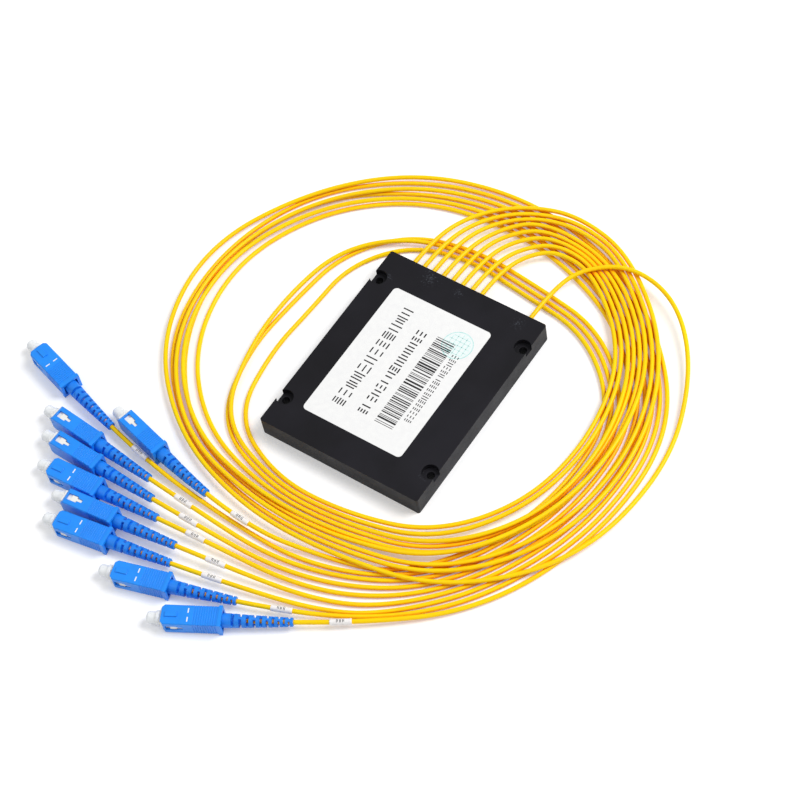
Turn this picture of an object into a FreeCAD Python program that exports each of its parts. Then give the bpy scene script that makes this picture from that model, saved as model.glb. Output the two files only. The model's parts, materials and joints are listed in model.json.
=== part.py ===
"""Fibre splitter module: a flat black case with one input and eight output pigtails.

Frame: origin at the bottom centre of the case, X across the case, Y along it towards the cable
exits, Z up, millimetres. The case lies on the floor plane z = 0, and so do its coiled pigtails and
their push-pull connectors.

Every size is a cell of the spreadsheet "Sizes". A Size carries a number together with the
expression that it comes from, so that one formula both places geometry and binds it to the sheet.
"""
import FreeCAD
import Part
import Sketcher

import math
import os

from FreeCAD import Placement, Rotation, Vector

SHEET = "Sizes"

CELLS = {
    # case: a tray and a cover that meet at the height of the cable exits
    "case_width": 80.0,
    "case_length": 100.0,
    "tray_height": 5.0,
    "cover_height": 5.0,
    "case_wall": 1.8,
    "case_floor": 1.5,
    "case_roof": 1.5,
    "corner_radius": 1.0,
    "lip_width": 0.8,
    "lip_height": 1.0,
    "lip_clearance": 0.1,
    # four mounting holes, each in a round recess that opens into the side of the cover
    "mount_inset_x": 3.0,
    "mount_inset_y": 14.5,
    "mount_hole": 3.5,
    "mount_recess": 7.5,
    "mount_recess_depth": 2.7,
    "column_wall": 1.6,
    # cable exits along the +Y face
    "exit_inset": 10.0,
    "exit_pitch": 5.0,
    "exit_hole": 2.2,
    # label on the cover
    "label_width": 50.0,
    "label_length": 71.0,
    "label_thickness": 0.15,
    "label_corner": 2.0,
    "label_centre_x": -2.6,
    "label_centre_y": -0.8,
    # splitter tube with its chip and end plugs
    "tube_length": 40.0,
    "tube_width": 4.0,
    "tube_height": 4.0,
    "tube_wall": 0.5,
    "plug_depth": 3.0,
    "plug_clearance": 0.02,
    "chip_length": 30.0,
    "chip_width": 2.4,
    "chip_height": 1.6,
    "saddle_thickness": 1.5,
    "saddle_length": 4.0,
    "saddle_rise": 2.0,
    # stored fibres and the posts that they run round
    "loop_side_gap": 8.2,
    "loop_rear_gap": 6.2,
    "loop_corner": 15.0,
    "loop_width": 3.0,
    "loop_height": 3.6,
    "fibre_diameter": 0.9,
    "post_diameter": 4.0,
    "post_gap": 0.1,
    # sleeves that hold the cable jackets behind the exits
    "sleeve_diameter": 3.4,
    "sleeve_bore": 1.2,
    "sleeve_length": 6.0,
    "sleeve_inset": 3.0,
    "sleeve_gap": 0.05,
    "comb_thickness": 2.0,
    # cable
    "cable_diameter": 2.0,
    # connector grip
    "grip_length": 25.0,
    "grip_width": 9.0,
    "grip_height": 7.4,
    "grip_flare": 0.25,
    "grip_flare_length": 1.5,
    "grip_nose": 1.3,
    "grip_edge": 0.35,
    "grip_slide_gap": 0.1,
    "grip_travel": 1.8,
    "ridge_pitch": 1.0,
    "ridge_groove": 0.4,
    "ridge_depth": 0.2,
    "ridge_start": 2.2,
    "key_width": 2.2,
    "key_length": 5.0,
    "key_height": 0.5,
    "key_inset": 1.6,
    "window_length": 7.2,
    "window_wide_length": 4.6,
    "window_height": 3.0,
    "window_neck": 1.4,
    "window_inset": 1.8,
    # plug frame inside the grip
    "frame_width": 6.8,
    "frame_height": 5.2,
    "frame_start": 4.0,
    "frame_proud": 0.8,
    "frame_bevel": 0.35,
    "frame_bore": 4.2,
    "frame_mouth_wall": 0.75,
    "frame_mouth_depth": 8.0,
    "frame_web": 1.0,
    "frame_shoulder": 0.7,
    # ferrule, spring, stop ring and crimp sleeve
    "ferrule_diameter": 2.5,
    "ferrule_proud": 1.6,
    "ferrule_gap": 0.05,
    "flange_diameter": 3.9,
    "flange_length": 2.2,
    "spigot_diameter": 2.0,
    "spigot_length": 2.8,
    "spring_diameter": 3.7,
    "spring_bore": 2.4,
    "stop_insert": 4.0,
    "stop_flange_diameter": 5.0,
    "stop_flange_length": 1.4,
    "stop_gap": 0.04,
    "stop_stem_diameter": 3.2,
    "stop_stem_length": 5.6,
    "stop_bore": 1.2,
    "crimp_wall": 0.35,
    "crimp_length": 5.0,
    # boot
    "boot_front_diameter": 6.0,
    "boot_rear_diameter": 3.7,
    "boot_length": 31.0,
    "boot_collar": 5.0,
    "boot_overlap": 2.2,
    "boot_gap": 0.3,
    "boot_slot": 0.9,
    "boot_slot_first": 4.3,
    "boot_slot_pitch": 3.1,
    "boot_slot_closing": 0.14,
    "boot_bridge": 1.3,
    # dust cap
    "cap_flange_diameter": 6.2,
    "cap_flange_length": 1.6,
    "cap_nose_diameter": 5.2,
    "cap_nose_length": 4.2,
    "cap_nose_round": 1.4,
    "cap_stem_length": 6.4,
    "cap_stem_gap": 0.1,
    # number sleeves on the cables
    "marker_diameter": 2.7,
    "marker_length": 9.0,
    "marker_gap": 0.05,
}


class Size:
    """A length together with the sheet expression that gives it."""

    def __init__(self, value, text):
        self.value = float(value)
        self.text = text

    @staticmethod
    def of(thing):
        return thing if isinstance(thing, Size) else Size(thing, repr(float(thing)))

    def join(self, other, sign, result):
        return Size(result, "(" + self.text + " " + sign + " " + Size.of(other).text + ")")

    def __add__(self, other):
        return self.join(other, "+", self.value + Size.of(other).value)

    def __sub__(self, other):
        return self.join(other, "-", self.value - Size.of(other).value)

    def __mul__(self, other):
        return self.join(other, "*", self.value * Size.of(other).value)

    def __truediv__(self, other):
        return self.join(other, "/", self.value / Size.of(other).value)

    def __radd__(self, other):
        return Size.of(other) + self

    def __rsub__(self, other):
        return Size.of(other) - self

    def __rmul__(self, other):
        return Size.of(other) * self

    def __neg__(self):
        return Size.of(0) - self


class Sizes:
    """The sheet's cells as attributes: sizes.case_width is a Size."""

    def __init__(self, doc):
        sheet = doc.addObject("Spreadsheet::Sheet", SHEET)
        for row, (alias, value) in enumerate(CELLS.items(), start=1):
            sheet.set("A%d" % row, alias)
            sheet.set("B%d" % row, str(value))
            sheet.setAlias("B%d" % row, alias)
            setattr(self, alias, Size(value, SHEET + "." + alias))
        doc.recompute()


DOC = FreeCAD.newDocument("fibre_splitter")
S = Sizes(DOC)

# Heights and places that several pieces share.
CASE_HEIGHT = S.tray_height + S.cover_height
EXIT_FACE = S.case_length / 2
SLEEVE_FRONT = EXIT_FACE - S.sleeve_inset
SLEEVE_REAR = SLEEVE_FRONT - S.sleeve_length
LOOP_BOTTOM = S.case_wall + S.loop_rear_gap - S.case_length / 2
LOOP_TOP = LOOP_BOTTOM + S.tube_length + 2 * S.loop_corner
LOOP_SPAN = S.case_width - 2 * S.case_wall - 2 * S.loop_side_gap
TUBE_X = -LOOP_SPAN / 2
TUBE_Y = (LOOP_TOP + LOOP_BOTTOM) / 2
OUTPUTS = 8
EXIT_INPUT = S.case_width / 2 - S.exit_inset
EXIT_FIRST = S.exit_inset - S.case_width / 2
EXITS = [EXIT_INPUT] + [EXIT_FIRST + S.exit_pitch * n for n in range(OUTPUTS)]
MOUNT_X = S.case_width / 2 - S.mount_inset_x
MOUNT_Y = S.case_length / 2 - S.mount_inset_y
MOUNTS = [(MOUNT_X * i, MOUNT_Y * j) for i in (-1, 1) for j in (-1, 1)]
WINDOW_FRONT = S.grip_length - S.window_inset
WINDOW_REAR = WINDOW_FRONT - S.window_length
WINDOW_STEP = WINDOW_FRONT - S.window_wide_length
FRAME_FRONT = S.grip_length + S.frame_proud
MOUTH_HEIGHT = S.frame_height - 2 * S.frame_mouth_wall
WEB_FRONT = FRAME_FRONT - S.frame_mouth_depth
WEB_REAR = WEB_FRONT - S.frame_web
STOP_FRONT = S.frame_start + S.stop_insert
STOP_FLANGE_REAR = S.frame_start - S.stop_flange_length
STEM_REAR = STOP_FLANGE_REAR - S.stop_stem_length
NAMES = ["input"] + ["output_%d" % (n + 1) for n in range(OUTPUTS)]


# ---------------------------------------------------------------- building helpers

def bind(thing, name, size):
    """Set a property from a Size and bind it to the sheet."""
    size = Size.of(size)
    thing.setExpression(name, size.text)


def part(kind, name, at=(0, 0, 0), turn=None, **sizes):
    """A Part primitive whose sizes and place are bound to the sheet."""
    thing = DOC.addObject(kind, name)
    if turn:
        thing.Placement = Placement(Vector(0, 0, 0), turn)
    for key, size in sizes.items():
        bind(thing, key, size)
    for axis, size in zip("xyz", at):
        bind(thing, "Placement.Base." + axis, size)
    return thing


ALONG_Y = Rotation(Vector(1, 0, 0), -90)


def rod(name, diameter, start, end):
    """A round bar on the Y axis of a connector, from start to end."""
    return part("Part::Cylinder", name, (0, start, 0), ALONG_Y, Radius=diameter / 2, Height=end - start)


def cut(name, base, tools):
    """The base less all its tools."""
    thing = DOC.addObject("Part::Cut", name)
    thing.Base = base
    thing.Tool = tools[0] if len(tools) == 1 else fuse(name + "_tools", tools)
    return thing


def fuse(name, pieces):
    """One solid of several."""
    thing = DOC.addObject("Part::MultiFuse", name)
    thing.Shapes = pieces
    thing.Refine = True
    return thing


def new_body(name):
    return DOC.addObject("PartDesign::Body", name)


def sketch_on(body, name, role, offset=0):
    """An empty sketch on one of the body's own origin planes, moved along its normal."""
    plane = [p for p in body.Origin.OriginFeatures if p.Role == role][0]
    sketch = body.newObject("Sketcher::SketchObject", name)
    sketch.AttachmentSupport = [(plane, "")]
    sketch.MapMode = "FlatFace"
    bind(sketch, "AttachmentOffset.Base.z", offset)
    return sketch


def hold(sketch, kind, geometry, point, size):
    """Fix one coordinate of a sketch point to a Size, measured from the sketch's origin."""
    size = Size.of(size)
    if abs(size.value) < 1e-9:
        axis = -2 if kind == "DistanceX" else -1
        sketch.addConstraint(Sketcher.Constraint("PointOnObject", geometry, point, axis))
        return
    low, high = ((-1, 1), (geometry, point))
    if size.value < 0:
        low, high, size = high, low, -size
    row = sketch.addConstraint(Sketcher.Constraint(kind, *low, *high, size.value))
    sketch.setExpression("Constraints[%d]" % row, size.text)


def polygon(sketch, corners):
    """A closed outline of straight lines through corners, each a pair of sizes."""
    corners = [(Size.of(x), Size.of(y)) for x, y in corners]
    places = [Vector(x.value, y.value, 0) for x, y in corners]
    first = sketch.GeometryCount
    count = len(places)
    for n in range(count):
        sketch.addGeometry(Part.LineSegment(places[n], places[(n + 1) % count]), False)
    for n in range(count):
        after = (n + 1) % count
        sketch.addConstraint(Sketcher.Constraint("Coincident", first + n, 2, first + after, 1))
    for n, (x, y) in enumerate(corners):
        hold(sketch, "DistanceX", first + n, 1, x)
        hold(sketch, "DistanceY", first + n, 1, y)


def rectangle(sketch, x, y, width, depth):
    """A rectangle about the centre (x, y)."""
    x, y = Size.of(x), Size.of(y)
    left, right = x - width / 2, x + width / 2
    low, high = y - depth / 2, y + depth / 2
    polygon(sketch, [(left, low), (right, low), (right, high), (left, high)])


def circle(sketch, x, y, diameter):
    """A circle about (x, y)."""
    x, y, diameter = Size.of(x), Size.of(y), Size.of(diameter)
    row = sketch.addGeometry(
        Part.Circle(Vector(x.value, y.value, 0), Vector(0, 0, 1), diameter.value / 2), False)
    held = sketch.addConstraint(Sketcher.Constraint("Diameter", row, diameter.value))
    sketch.setExpression("Constraints[%d]" % held, diameter.text)
    hold(sketch, "DistanceX", row, 3, x)
    hold(sketch, "DistanceY", row, 3, y)


def feature(body, kind, name, sketch, size, reverse=False):
    """A pad or pocket of a sketch. A pocket has to take material away, and a pad to add it."""
    before = body.Shape.Volume if body.Tip else 0.0
    thing = body.newObject("PartDesign::" + kind, name)
    thing.Profile = sketch
    thing.Reversed = reverse
    bind(thing, "Length", size)
    DOC.recompute()
    change = body.Shape.Volume - before
    if change * (-1 if kind == "Pocket" else 1) <= 0:
        raise ValueError(name + " does not change the solid the right way")
    return thing


def edges_where(shape, test):
    return ["Edge%d" % (n + 1) for n, edge in enumerate(shape.Edges) if test(edge)]


def upright(edge, x, y):
    """True for a straight edge along Z that stands at (|x|, |y|)."""
    box = edge.BoundBox
    near = abs(abs(box.Center.x) - x.value) < 0.01 and abs(abs(box.Center.y) - y.value) < 0.01
    return near and box.XLength < 0.01 and box.YLength < 0.01


def round_edges(body, name, base, edges, radius, kind="Fillet"):
    thing = body.newObject("PartDesign::" + kind, name)
    thing.Base = (base, edges)
    bind(thing, "Radius" if kind == "Fillet" else "Size", radius)
    DOC.recompute()
    return thing


# ---------------------------------------------------------------- case

def case_blank(body, base, height):
    """The outer block of the tray or the cover, with rounded upright corners."""
    outline = sketch_on(body, body.Name + "_outline", "XY_Plane", base)
    rectangle(outline, 0, 0, S.case_width, S.case_length)
    block = feature(body, "Pad", body.Name + "_block", outline, height)
    corners = edges_where(block.Shape, lambda e: upright(e, S.case_width / 2, S.case_length / 2))
    round_edges(body, body.Name + "_corners", block, corners, S.corner_radius)


def column_outline(sketch, x, y):
    """The foot of a screw column: it grows out of the long wall and has cut inner corners."""
    half = S.mount_recess / 2 + S.column_wall
    side = 1 if x.value > 0 else -1
    wall = (S.case_width / 2 - S.case_wall / 2) * side
    inner = x - half * side
    slope = inner + S.column_wall * side
    polygon(sketch, [(wall, y - half), (slope, y - half), (inner, y - half + S.column_wall),
                     (inner, y + half - S.column_wall), (slope, y + half), (wall, y + half)])


def build_tray():
    """The lower shell: floor, walls, screw columns, fibre posts, tube saddles and exit comb."""
    body = new_body("case_tray")
    case_blank(body, 0, S.tray_height)

    cavity = sketch_on(body, "tray_cavity_outline", "XY_Plane", S.tray_height)
    rectangle(cavity, 0, 0, S.case_width - 2 * S.case_wall, S.case_length - 2 * S.case_wall)
    feature(body, "Pocket", "tray_cavity", cavity, S.tray_height - S.case_floor)

    columns = sketch_on(body, "tray_column_outline", "XY_Plane", S.case_floor / 2)
    for x, y in MOUNTS:
        column_outline(columns, x, y)
    feature(body, "Pad", "tray_columns", columns, S.tray_height - S.case_floor / 2)

    lip = sketch_on(body, "tray_lip_outline", "XY_Plane", S.tray_height - S.lip_height)
    width = S.case_width - 2 * S.case_wall
    length = S.case_length - 2 * S.case_wall
    rectangle(lip, 0, 0, width + 2 * S.lip_width, length + 2 * S.lip_width)
    rectangle(lip, 0, 0, width, length)
    feature(body, "Pad", "tray_lip", lip, 2 * S.lip_height)

    posts = sketch_on(body, "tray_post_outline", "XY_Plane", S.case_floor / 2)
    reach = S.loop_corner - S.loop_width / 2 - S.post_gap - S.post_diameter / 2
    inset = S.loop_corner - reach * math.cos(math.radians(45))
    for side in (-1, 1):
        across = (LOOP_SPAN / 2 - inset) * side
        circle(posts, across, LOOP_TOP - inset, S.post_diameter)
        circle(posts, across, LOOP_BOTTOM + inset, S.post_diameter)
    feature(body, "Pad", "tray_posts", posts, CASE_HEIGHT - S.case_roof - S.case_floor / 2 - S.lip_clearance)

    saddles = sketch_on(body, "tray_saddle_outline", "XY_Plane", S.case_floor / 2)
    half = S.tube_width / 2 + S.plug_clearance + S.saddle_thickness / 2
    for along in (-1, 1):
        for across in (-1, 1):
            rectangle(saddles, TUBE_X + half * across, TUBE_Y + S.tube_length * along / 3,
                      S.saddle_thickness, S.saddle_length)
    feature(body, "Pad", "tray_saddles", saddles, S.case_floor / 2 + S.saddle_rise)

    comb = sketch_on(body, "tray_comb_outline", "XY_Plane", S.case_floor / 2)
    middle = (SLEEVE_FRONT + SLEEVE_REAR) / 2
    comb_left = EXIT_FIRST - S.exit_pitch / 2
    comb_right = EXIT_INPUT + S.exit_pitch / 2
    rectangle(comb, (comb_left + comb_right) / 2, middle, comb_right - comb_left, S.comb_thickness)
    feature(body, "Pad", "tray_comb", comb, S.tray_height - S.case_floor / 2)

    holes = sketch_on(body, "tray_hole_outline", "XY_Plane", S.tray_height + S.lip_height)
    for x, y in MOUNTS:
        circle(holes, x, y, S.mount_hole)
    feature(body, "Pocket", "tray_holes", holes, 2 * CASE_HEIGHT)

    exits = sketch_on(body, "tray_exit_outline", "XZ_Plane", -EXIT_FACE)
    for x in EXITS:
        circle(exits, x, S.tray_height, S.exit_hole)
    feature(body, "Pocket", "tray_exits", exits, S.sleeve_inset, reverse=True)

    cradles = sketch_on(body, "tray_cradle_outline", "XZ_Plane", -SLEEVE_FRONT)
    for x in EXITS:
        circle(cradles, x, S.tray_height, S.sleeve_diameter + 2 * S.sleeve_gap)
    feature(body, "Pocket", "tray_cradles", cradles, S.sleeve_length, reverse=True)
    return body


def build_cover():
    """The upper shell: roof, walls, rabbet for the lip and the recessed screw columns."""
    body = new_body("case_cover")
    case_blank(body, S.tray_height, S.cover_height)

    cavity = sketch_on(body, "cover_cavity_outline", "XY_Plane", S.tray_height)
    rectangle(cavity, 0, 0, S.case_width - 2 * S.case_wall, S.case_length - 2 * S.case_wall)
    feature(body, "Pocket", "cover_cavity", cavity, S.cover_height - S.case_roof, reverse=True)

    columns = sketch_on(body, "cover_column_outline", "XY_Plane", S.tray_height)
    for x, y in MOUNTS:
        column_outline(columns, x, y)
    feature(body, "Pad", "cover_columns", columns, S.cover_height - S.case_roof / 2)

    rabbet = sketch_on(body, "cover_rabbet_outline", "XY_Plane", S.tray_height)
    grown = 2 * S.lip_width + 2 * S.lip_clearance - 2 * S.case_wall
    rectangle(rabbet, 0, 0, S.case_width + grown, S.case_length + grown)
    shrunk = -2 * S.case_wall - 2 * S.lip_clearance
    rectangle(rabbet, 0, 0, S.case_width + shrunk, S.case_length + shrunk)
    feature(body, "Pocket", "cover_rabbet", rabbet, S.lip_height + S.lip_clearance, reverse=True)

    holes = sketch_on(body, "cover_hole_outline", "XY_Plane", CASE_HEIGHT)
    for x, y in MOUNTS:
        circle(holes, x, y, S.mount_hole)
    feature(body, "Pocket", "cover_holes", holes, CASE_HEIGHT)

    recesses = sketch_on(body, "cover_recess_outline", "XY_Plane", CASE_HEIGHT)
    for x, y in MOUNTS:
        circle(recesses, x, y, S.mount_recess)
    feature(body, "Pocket", "cover_recesses", recesses, S.mount_recess_depth)

    exits = sketch_on(body, "cover_exit_outline", "XZ_Plane", -EXIT_FACE)
    for x in EXITS:
        circle(exits, x, S.tray_height, S.exit_hole)
    feature(body, "Pocket", "cover_exits", exits, S.sleeve_inset, reverse=True)
    return body


def build_label():
    """Paper label on the cover, with rounded corners."""
    body = new_body("label")
    outline = sketch_on(body, "label_outline", "XY_Plane", CASE_HEIGHT)
    rectangle(outline, S.label_centre_x, S.label_centre_y, S.label_width, S.label_length)
    sheet = feature(body, "Pad", "label_sheet", outline, S.label_thickness)
    corners = edges_where(sheet.Shape, lambda e: e.BoundBox.ZLength > S.label_thickness.value / 2)
    round_edges(body, "label_corners", sheet, corners, S.label_corner)
    return body


# ---------------------------------------------------------------- inside the case

def build_splitter():
    """Steel tube with the splitter chip inside and a rubber plug in each end."""
    ends = TUBE_Y - S.tube_length / 2
    left = TUBE_X - S.tube_width / 2
    tube = cut("splitter_tube", part(
        "Part::Box", "tube_outside", (left, ends, S.case_floor),
        Length=S.tube_width, Width=S.tube_length, Height=S.tube_height), [part(
            "Part::Box", "tube_inside", (left + S.tube_wall, ends, S.case_floor + S.tube_wall),
            Length=S.tube_width - 2 * S.tube_wall, Width=S.tube_length,
            Height=S.tube_height - 2 * S.tube_wall)])
    chip = part(
        "Part::Box", "splitter_chip",
        (TUBE_X - S.chip_width / 2, TUBE_Y - S.chip_length / 2, S.case_floor + S.tube_wall),
        Length=S.chip_width, Width=S.chip_length, Height=S.chip_height)
    inset = S.tube_wall + S.plug_clearance
    plugs = DOC.addObject("Part::Compound", "tube_end_plugs")
    plugs.Links = [part(
        "Part::Box", "plug_%d" % number, (left + inset, start, S.case_floor + inset),
        Length=S.tube_width - 2 * inset, Width=S.plug_depth, Height=S.tube_height - 2 * inset)
        for number, start in ((1, ends), (2, ends + S.tube_length - S.plug_depth))]
    return [tube, chip, plugs]


def build_inner_fibres():
    """The stored fibres: an oval loop from plug to plug, fanned out flat to the exit sleeves."""
    body = new_body("inner_fibres")
    middle = (LOOP_TOP + LOOP_BOTTOM) / 2
    span_y = LOOP_TOP - LOOP_BOTTOM
    outside = sketch_on(body, "loop_outside_outline", "XY_Plane", S.case_floor)
    rectangle(outside, 0, middle, LOOP_SPAN + S.loop_width, span_y + S.loop_width)
    block = feature(body, "Pad", "loop_outside", outside, S.loop_height)
    corners = edges_where(block.Shape, lambda e: e.BoundBox.ZLength > S.loop_height.value / 2)
    round_edges(body, "loop_outside_corners", block, corners, S.loop_corner + S.loop_width / 2)
    width, length = LOOP_SPAN - S.loop_width, span_y - S.loop_width
    bend = S.loop_corner - S.loop_width / 2
    top = S.case_floor + S.loop_height
    for turn, across, along in (("a", width, length - 2 * bend), ("b", width - 2 * bend, length)):
        inside = sketch_on(body, "loop_inside_outline_" + turn, "XY_Plane", top)
        rectangle(inside, 0, middle, across, along)
        feature(body, "Pocket", "loop_inside_" + turn, inside, S.loop_height)
    bends = sketch_on(body, "loop_bend_outline", "XY_Plane", top)
    for side in (-1, 1):
        for end in (-1, 1):
            circle(bends, (width / 2 - bend) * side, middle + (length / 2 - bend) * end, 2 * bend)
    feature(body, "Pocket", "loop_bends", bends, S.loop_height)
    gap = sketch_on(body, "loop_gap_outline", "XY_Plane", S.case_floor + S.loop_height)
    rectangle(gap, TUBE_X, TUBE_Y, 2 * S.loop_width, S.tube_length)
    feature(body, "Pocket", "loop_gap", gap, S.loop_height)
    fan = sketch_on(body, "fan_outline", "XY_Plane", S.tray_height - S.fibre_diameter / 2)
    left = EXIT_FIRST - S.fibre_diameter / 2
    right = EXIT_INPUT + S.fibre_diameter / 2
    narrow = LOOP_SPAN / 2 - S.loop_corner
    polygon(fan, [(left, SLEEVE_REAR), (-narrow, LOOP_TOP), (narrow, LOOP_TOP), (right, SLEEVE_REAR)])
    feature(body, "Pad", "fan", fan, S.fibre_diameter)
    return body


def build_sleeves():
    """One sleeve behind each exit: the cable jacket butts against it, the fibre goes through it."""
    sleeves = DOC.addObject("Part::Compound", "exit_sleeves")
    rings = []
    for name, x in zip(NAMES, EXITS):
        outside = part(
            "Part::Cylinder", name + "_sleeve_outside", (x, SLEEVE_REAR, S.tray_height), ALONG_Y,
            Radius=S.sleeve_diameter / 2, Height=S.sleeve_length)
        inside = part(
            "Part::Cylinder", name + "_sleeve_inside", (x, SLEEVE_REAR, S.tray_height), ALONG_Y,
            Radius=S.sleeve_bore / 2, Height=S.sleeve_length)
        rings.append(cut(name + "_sleeve", outside, [inside]))
    sleeves.Links = rings
    return sleeves


# ---------------------------------------------------------------- push-pull connector
# Each piece is drawn once, on the Y axis: the grip's rear face is at y = 0, its mouth at +Y and
# its key on the +Z side. Links then place the nine copies of it.

RIDGE_GROOVES = 10
SLOT_RINGS = 10


def build_grip():
    """Outer housing that slides on the plug frame: nose, key, side windows, grip ridges, flare."""
    body = new_body("grip_master")
    section = sketch_on(body, "grip_section", "XZ_Plane", -S.grip_length)
    rectangle(section, 0, 0, S.grip_width, S.grip_height)
    block = feature(body, "Pad", "grip_block", section, S.grip_length)

    nose = edges_where(block.Shape, lambda e: e.BoundBox.ZLength > 1 and e.BoundBox.YLength < 0.01
                       and e.BoundBox.YMin > S.grip_length.value / 2)
    nosed = round_edges(body, "grip_nose_bevel", block, nose, S.grip_nose, "Chamfer")
    long_edges = edges_where(nosed.Shape, lambda e: e.BoundBox.YLength > S.grip_length.value / 2
                             and e.BoundBox.XLength < 0.01)
    round_edges(body, "grip_long_edges", nosed, long_edges, S.grip_edge, "Chamfer")

    flare = sketch_on(body, "grip_flare_section", "XZ_Plane", -S.grip_flare_length)
    rectangle(flare, 0, 0, S.grip_width + 2 * S.grip_flare, S.grip_height + 2 * S.grip_flare)
    feature(body, "Pad", "grip_flare_band", flare, S.grip_flare_length)

    start = S.ridge_start
    for number in range(RIDGE_GROOVES):
        groove = sketch_on(body, "grip_groove_section_%d" % number, "XZ_Plane", -start - S.ridge_groove)
        rectangle(groove, 0, 0, S.grip_width + S.grip_flare, S.grip_height + S.grip_flare)
        rectangle(groove, 0, 0, S.grip_width - 2 * S.ridge_depth, S.grip_height - 2 * S.ridge_depth)
        feature(body, "Pocket", "grip_groove_%d" % number, groove, S.ridge_groove, reverse=True)
        start = start + S.ridge_pitch

    bore = sketch_on(body, "grip_bore_section", "XZ_Plane", -S.grip_length)
    rectangle(bore, 0, 0, S.frame_width + 2 * S.grip_slide_gap, S.frame_height + 2 * S.grip_slide_gap)
    feature(body, "Pocket", "grip_bore", bore, S.grip_length, reverse=True)

    rear = sketch_on(body, "grip_rear_section", "XZ_Plane", 0)
    circle(rear, 0, 0, S.boot_front_diameter + 2 * S.boot_gap)
    feature(body, "Pocket", "grip_rear_bore", rear, S.boot_overlap + S.grip_travel + S.boot_gap)

    windows = sketch_on(body, "grip_window_outline", "YZ_Plane", S.grip_width)
    wide, neck = S.window_height / 2, S.window_neck / 2
    slope = WINDOW_STEP - (wide - neck)
    polygon(windows, [(WINDOW_FRONT, -wide), (WINDOW_FRONT, wide), (WINDOW_STEP, wide), (slope, neck),
                      (WINDOW_REAR, neck), (WINDOW_REAR, -neck), (slope, -neck), (WINDOW_STEP, -wide)])
    feature(body, "Pocket", "grip_windows", windows, 2 * S.grip_width)

    key = sketch_on(body, "grip_key_outline", "XY_Plane", S.grip_height / 2 - S.key_height)
    rectangle(key, 0, S.grip_length - S.key_inset - S.key_length / 2, S.key_width, S.key_length)
    feature(body, "Pad", "grip_key", key, 2 * S.key_height)
    return body


def build_plug_frame():
    """Inner frame: open square mouth round the ferrule, and the shoulders seen in the windows."""
    body = new_body("plug_frame_master")
    section = sketch_on(body, "frame_section", "XZ_Plane", -FRAME_FRONT)
    rectangle(section, 0, 0, S.frame_width, S.frame_height)
    block = feature(body, "Pad", "frame_block", section, FRAME_FRONT - S.frame_start)
    rim = edges_where(block.Shape, lambda e: abs(e.BoundBox.YMin - FRAME_FRONT.value) < 0.01)
    round_edges(body, "frame_bevel", block, rim, S.frame_bevel, "Chamfer")

    front, rear = WINDOW_FRONT - S.grip_travel - S.grip_slide_gap, WINDOW_REAR + S.grip_slide_gap
    step = WINDOW_STEP + S.grip_slide_gap
    wide = S.window_height / 2 - S.grip_slide_gap
    neck = S.window_neck / 2 - S.grip_slide_gap
    shoulder = sketch_on(body, "frame_shoulder_outline", "YZ_Plane", -S.frame_width / 2 - S.frame_shoulder)
    polygon(shoulder, [(front, -wide), (front, wide), (step, wide), (step, neck),
                       (rear, neck), (rear, -neck), (step, -neck), (step, -wide)])
    feature(body, "Pad", "frame_shoulders", shoulder, S.frame_width + 2 * S.frame_shoulder)

    mouth = sketch_on(body, "frame_mouth_section", "XZ_Plane", -FRAME_FRONT)
    rectangle(mouth, 0, 0, S.frame_width - 2 * S.frame_mouth_wall, MOUTH_HEIGHT)
    feature(body, "Pocket", "frame_mouth", mouth, S.frame_mouth_depth, reverse=True)
    web = sketch_on(body, "frame_web_section", "XZ_Plane", -WEB_FRONT)
    circle(web, 0, 0, S.ferrule_diameter + 2 * S.ferrule_gap)
    feature(body, "Pocket", "frame_web_hole", web, S.frame_web, reverse=True)
    bore = sketch_on(body, "frame_bore_section", "XZ_Plane", -WEB_REAR)
    circle(bore, 0, 0, S.frame_bore)
    feature(body, "Pocket", "frame_rear_bore", bore, WEB_REAR - S.frame_start, reverse=True)
    return body


def build_dust_cap():
    """Cap pushed over the ferrule: stem in the frame's mouth, flange on its rim, rounded nose."""
    body = new_body("dust_cap_master")
    rim = FRAME_FRONT + S.cap_flange_length
    tip = rim + S.cap_nose_length
    nose = sketch_on(body, "cap_nose_section", "XZ_Plane", -tip)
    circle(nose, 0, 0, S.cap_nose_diameter)
    blunt = feature(body, "Pad", "cap_nose", nose, tip - FRAME_FRONT)
    end = edges_where(blunt.Shape, lambda e: abs(e.BoundBox.YMin - tip.value) < 0.01)
    round_edges(body, "cap_nose_end", blunt, end, S.cap_nose_round)
    flange = sketch_on(body, "cap_flange_section", "XZ_Plane", -rim)
    circle(flange, 0, 0, S.cap_flange_diameter)
    feature(body, "Pad", "cap_flange", flange, S.cap_flange_length)
    stem = sketch_on(body, "cap_stem_section", "XZ_Plane", -FRAME_FRONT)
    circle(stem, 0, 0, MOUTH_HEIGHT - 2 * S.cap_stem_gap)
    feature(body, "Pad", "cap_stem", stem, S.cap_stem_length)
    bore = sketch_on(body, "cap_bore_section", "XZ_Plane", S.cap_stem_length - FRAME_FRONT)
    circle(bore, 0, 0, S.ferrule_diameter + 2 * S.ferrule_gap)
    feature(body, "Pocket", "cap_bore", bore, S.cap_stem_length + S.ferrule_proud + S.cap_flange_length / 2)
    return body


def build_ferrule():
    """Ceramic ferrule pressed into its steel flange, with the spigot that centres the spring."""
    pin = rod("ferrule_pin", S.ferrule_diameter, WEB_REAR - S.flange_length, FRAME_FRONT + S.ferrule_proud)
    flange = rod("ferrule_flange", S.flange_diameter, WEB_REAR - S.flange_length, WEB_REAR)
    spigot = rod("ferrule_spigot", S.spigot_diameter,
                 WEB_REAR - S.flange_length - S.spigot_length, WEB_REAR - S.flange_length)
    return fuse("ferrule_master", [pin, flange, spigot])


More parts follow.
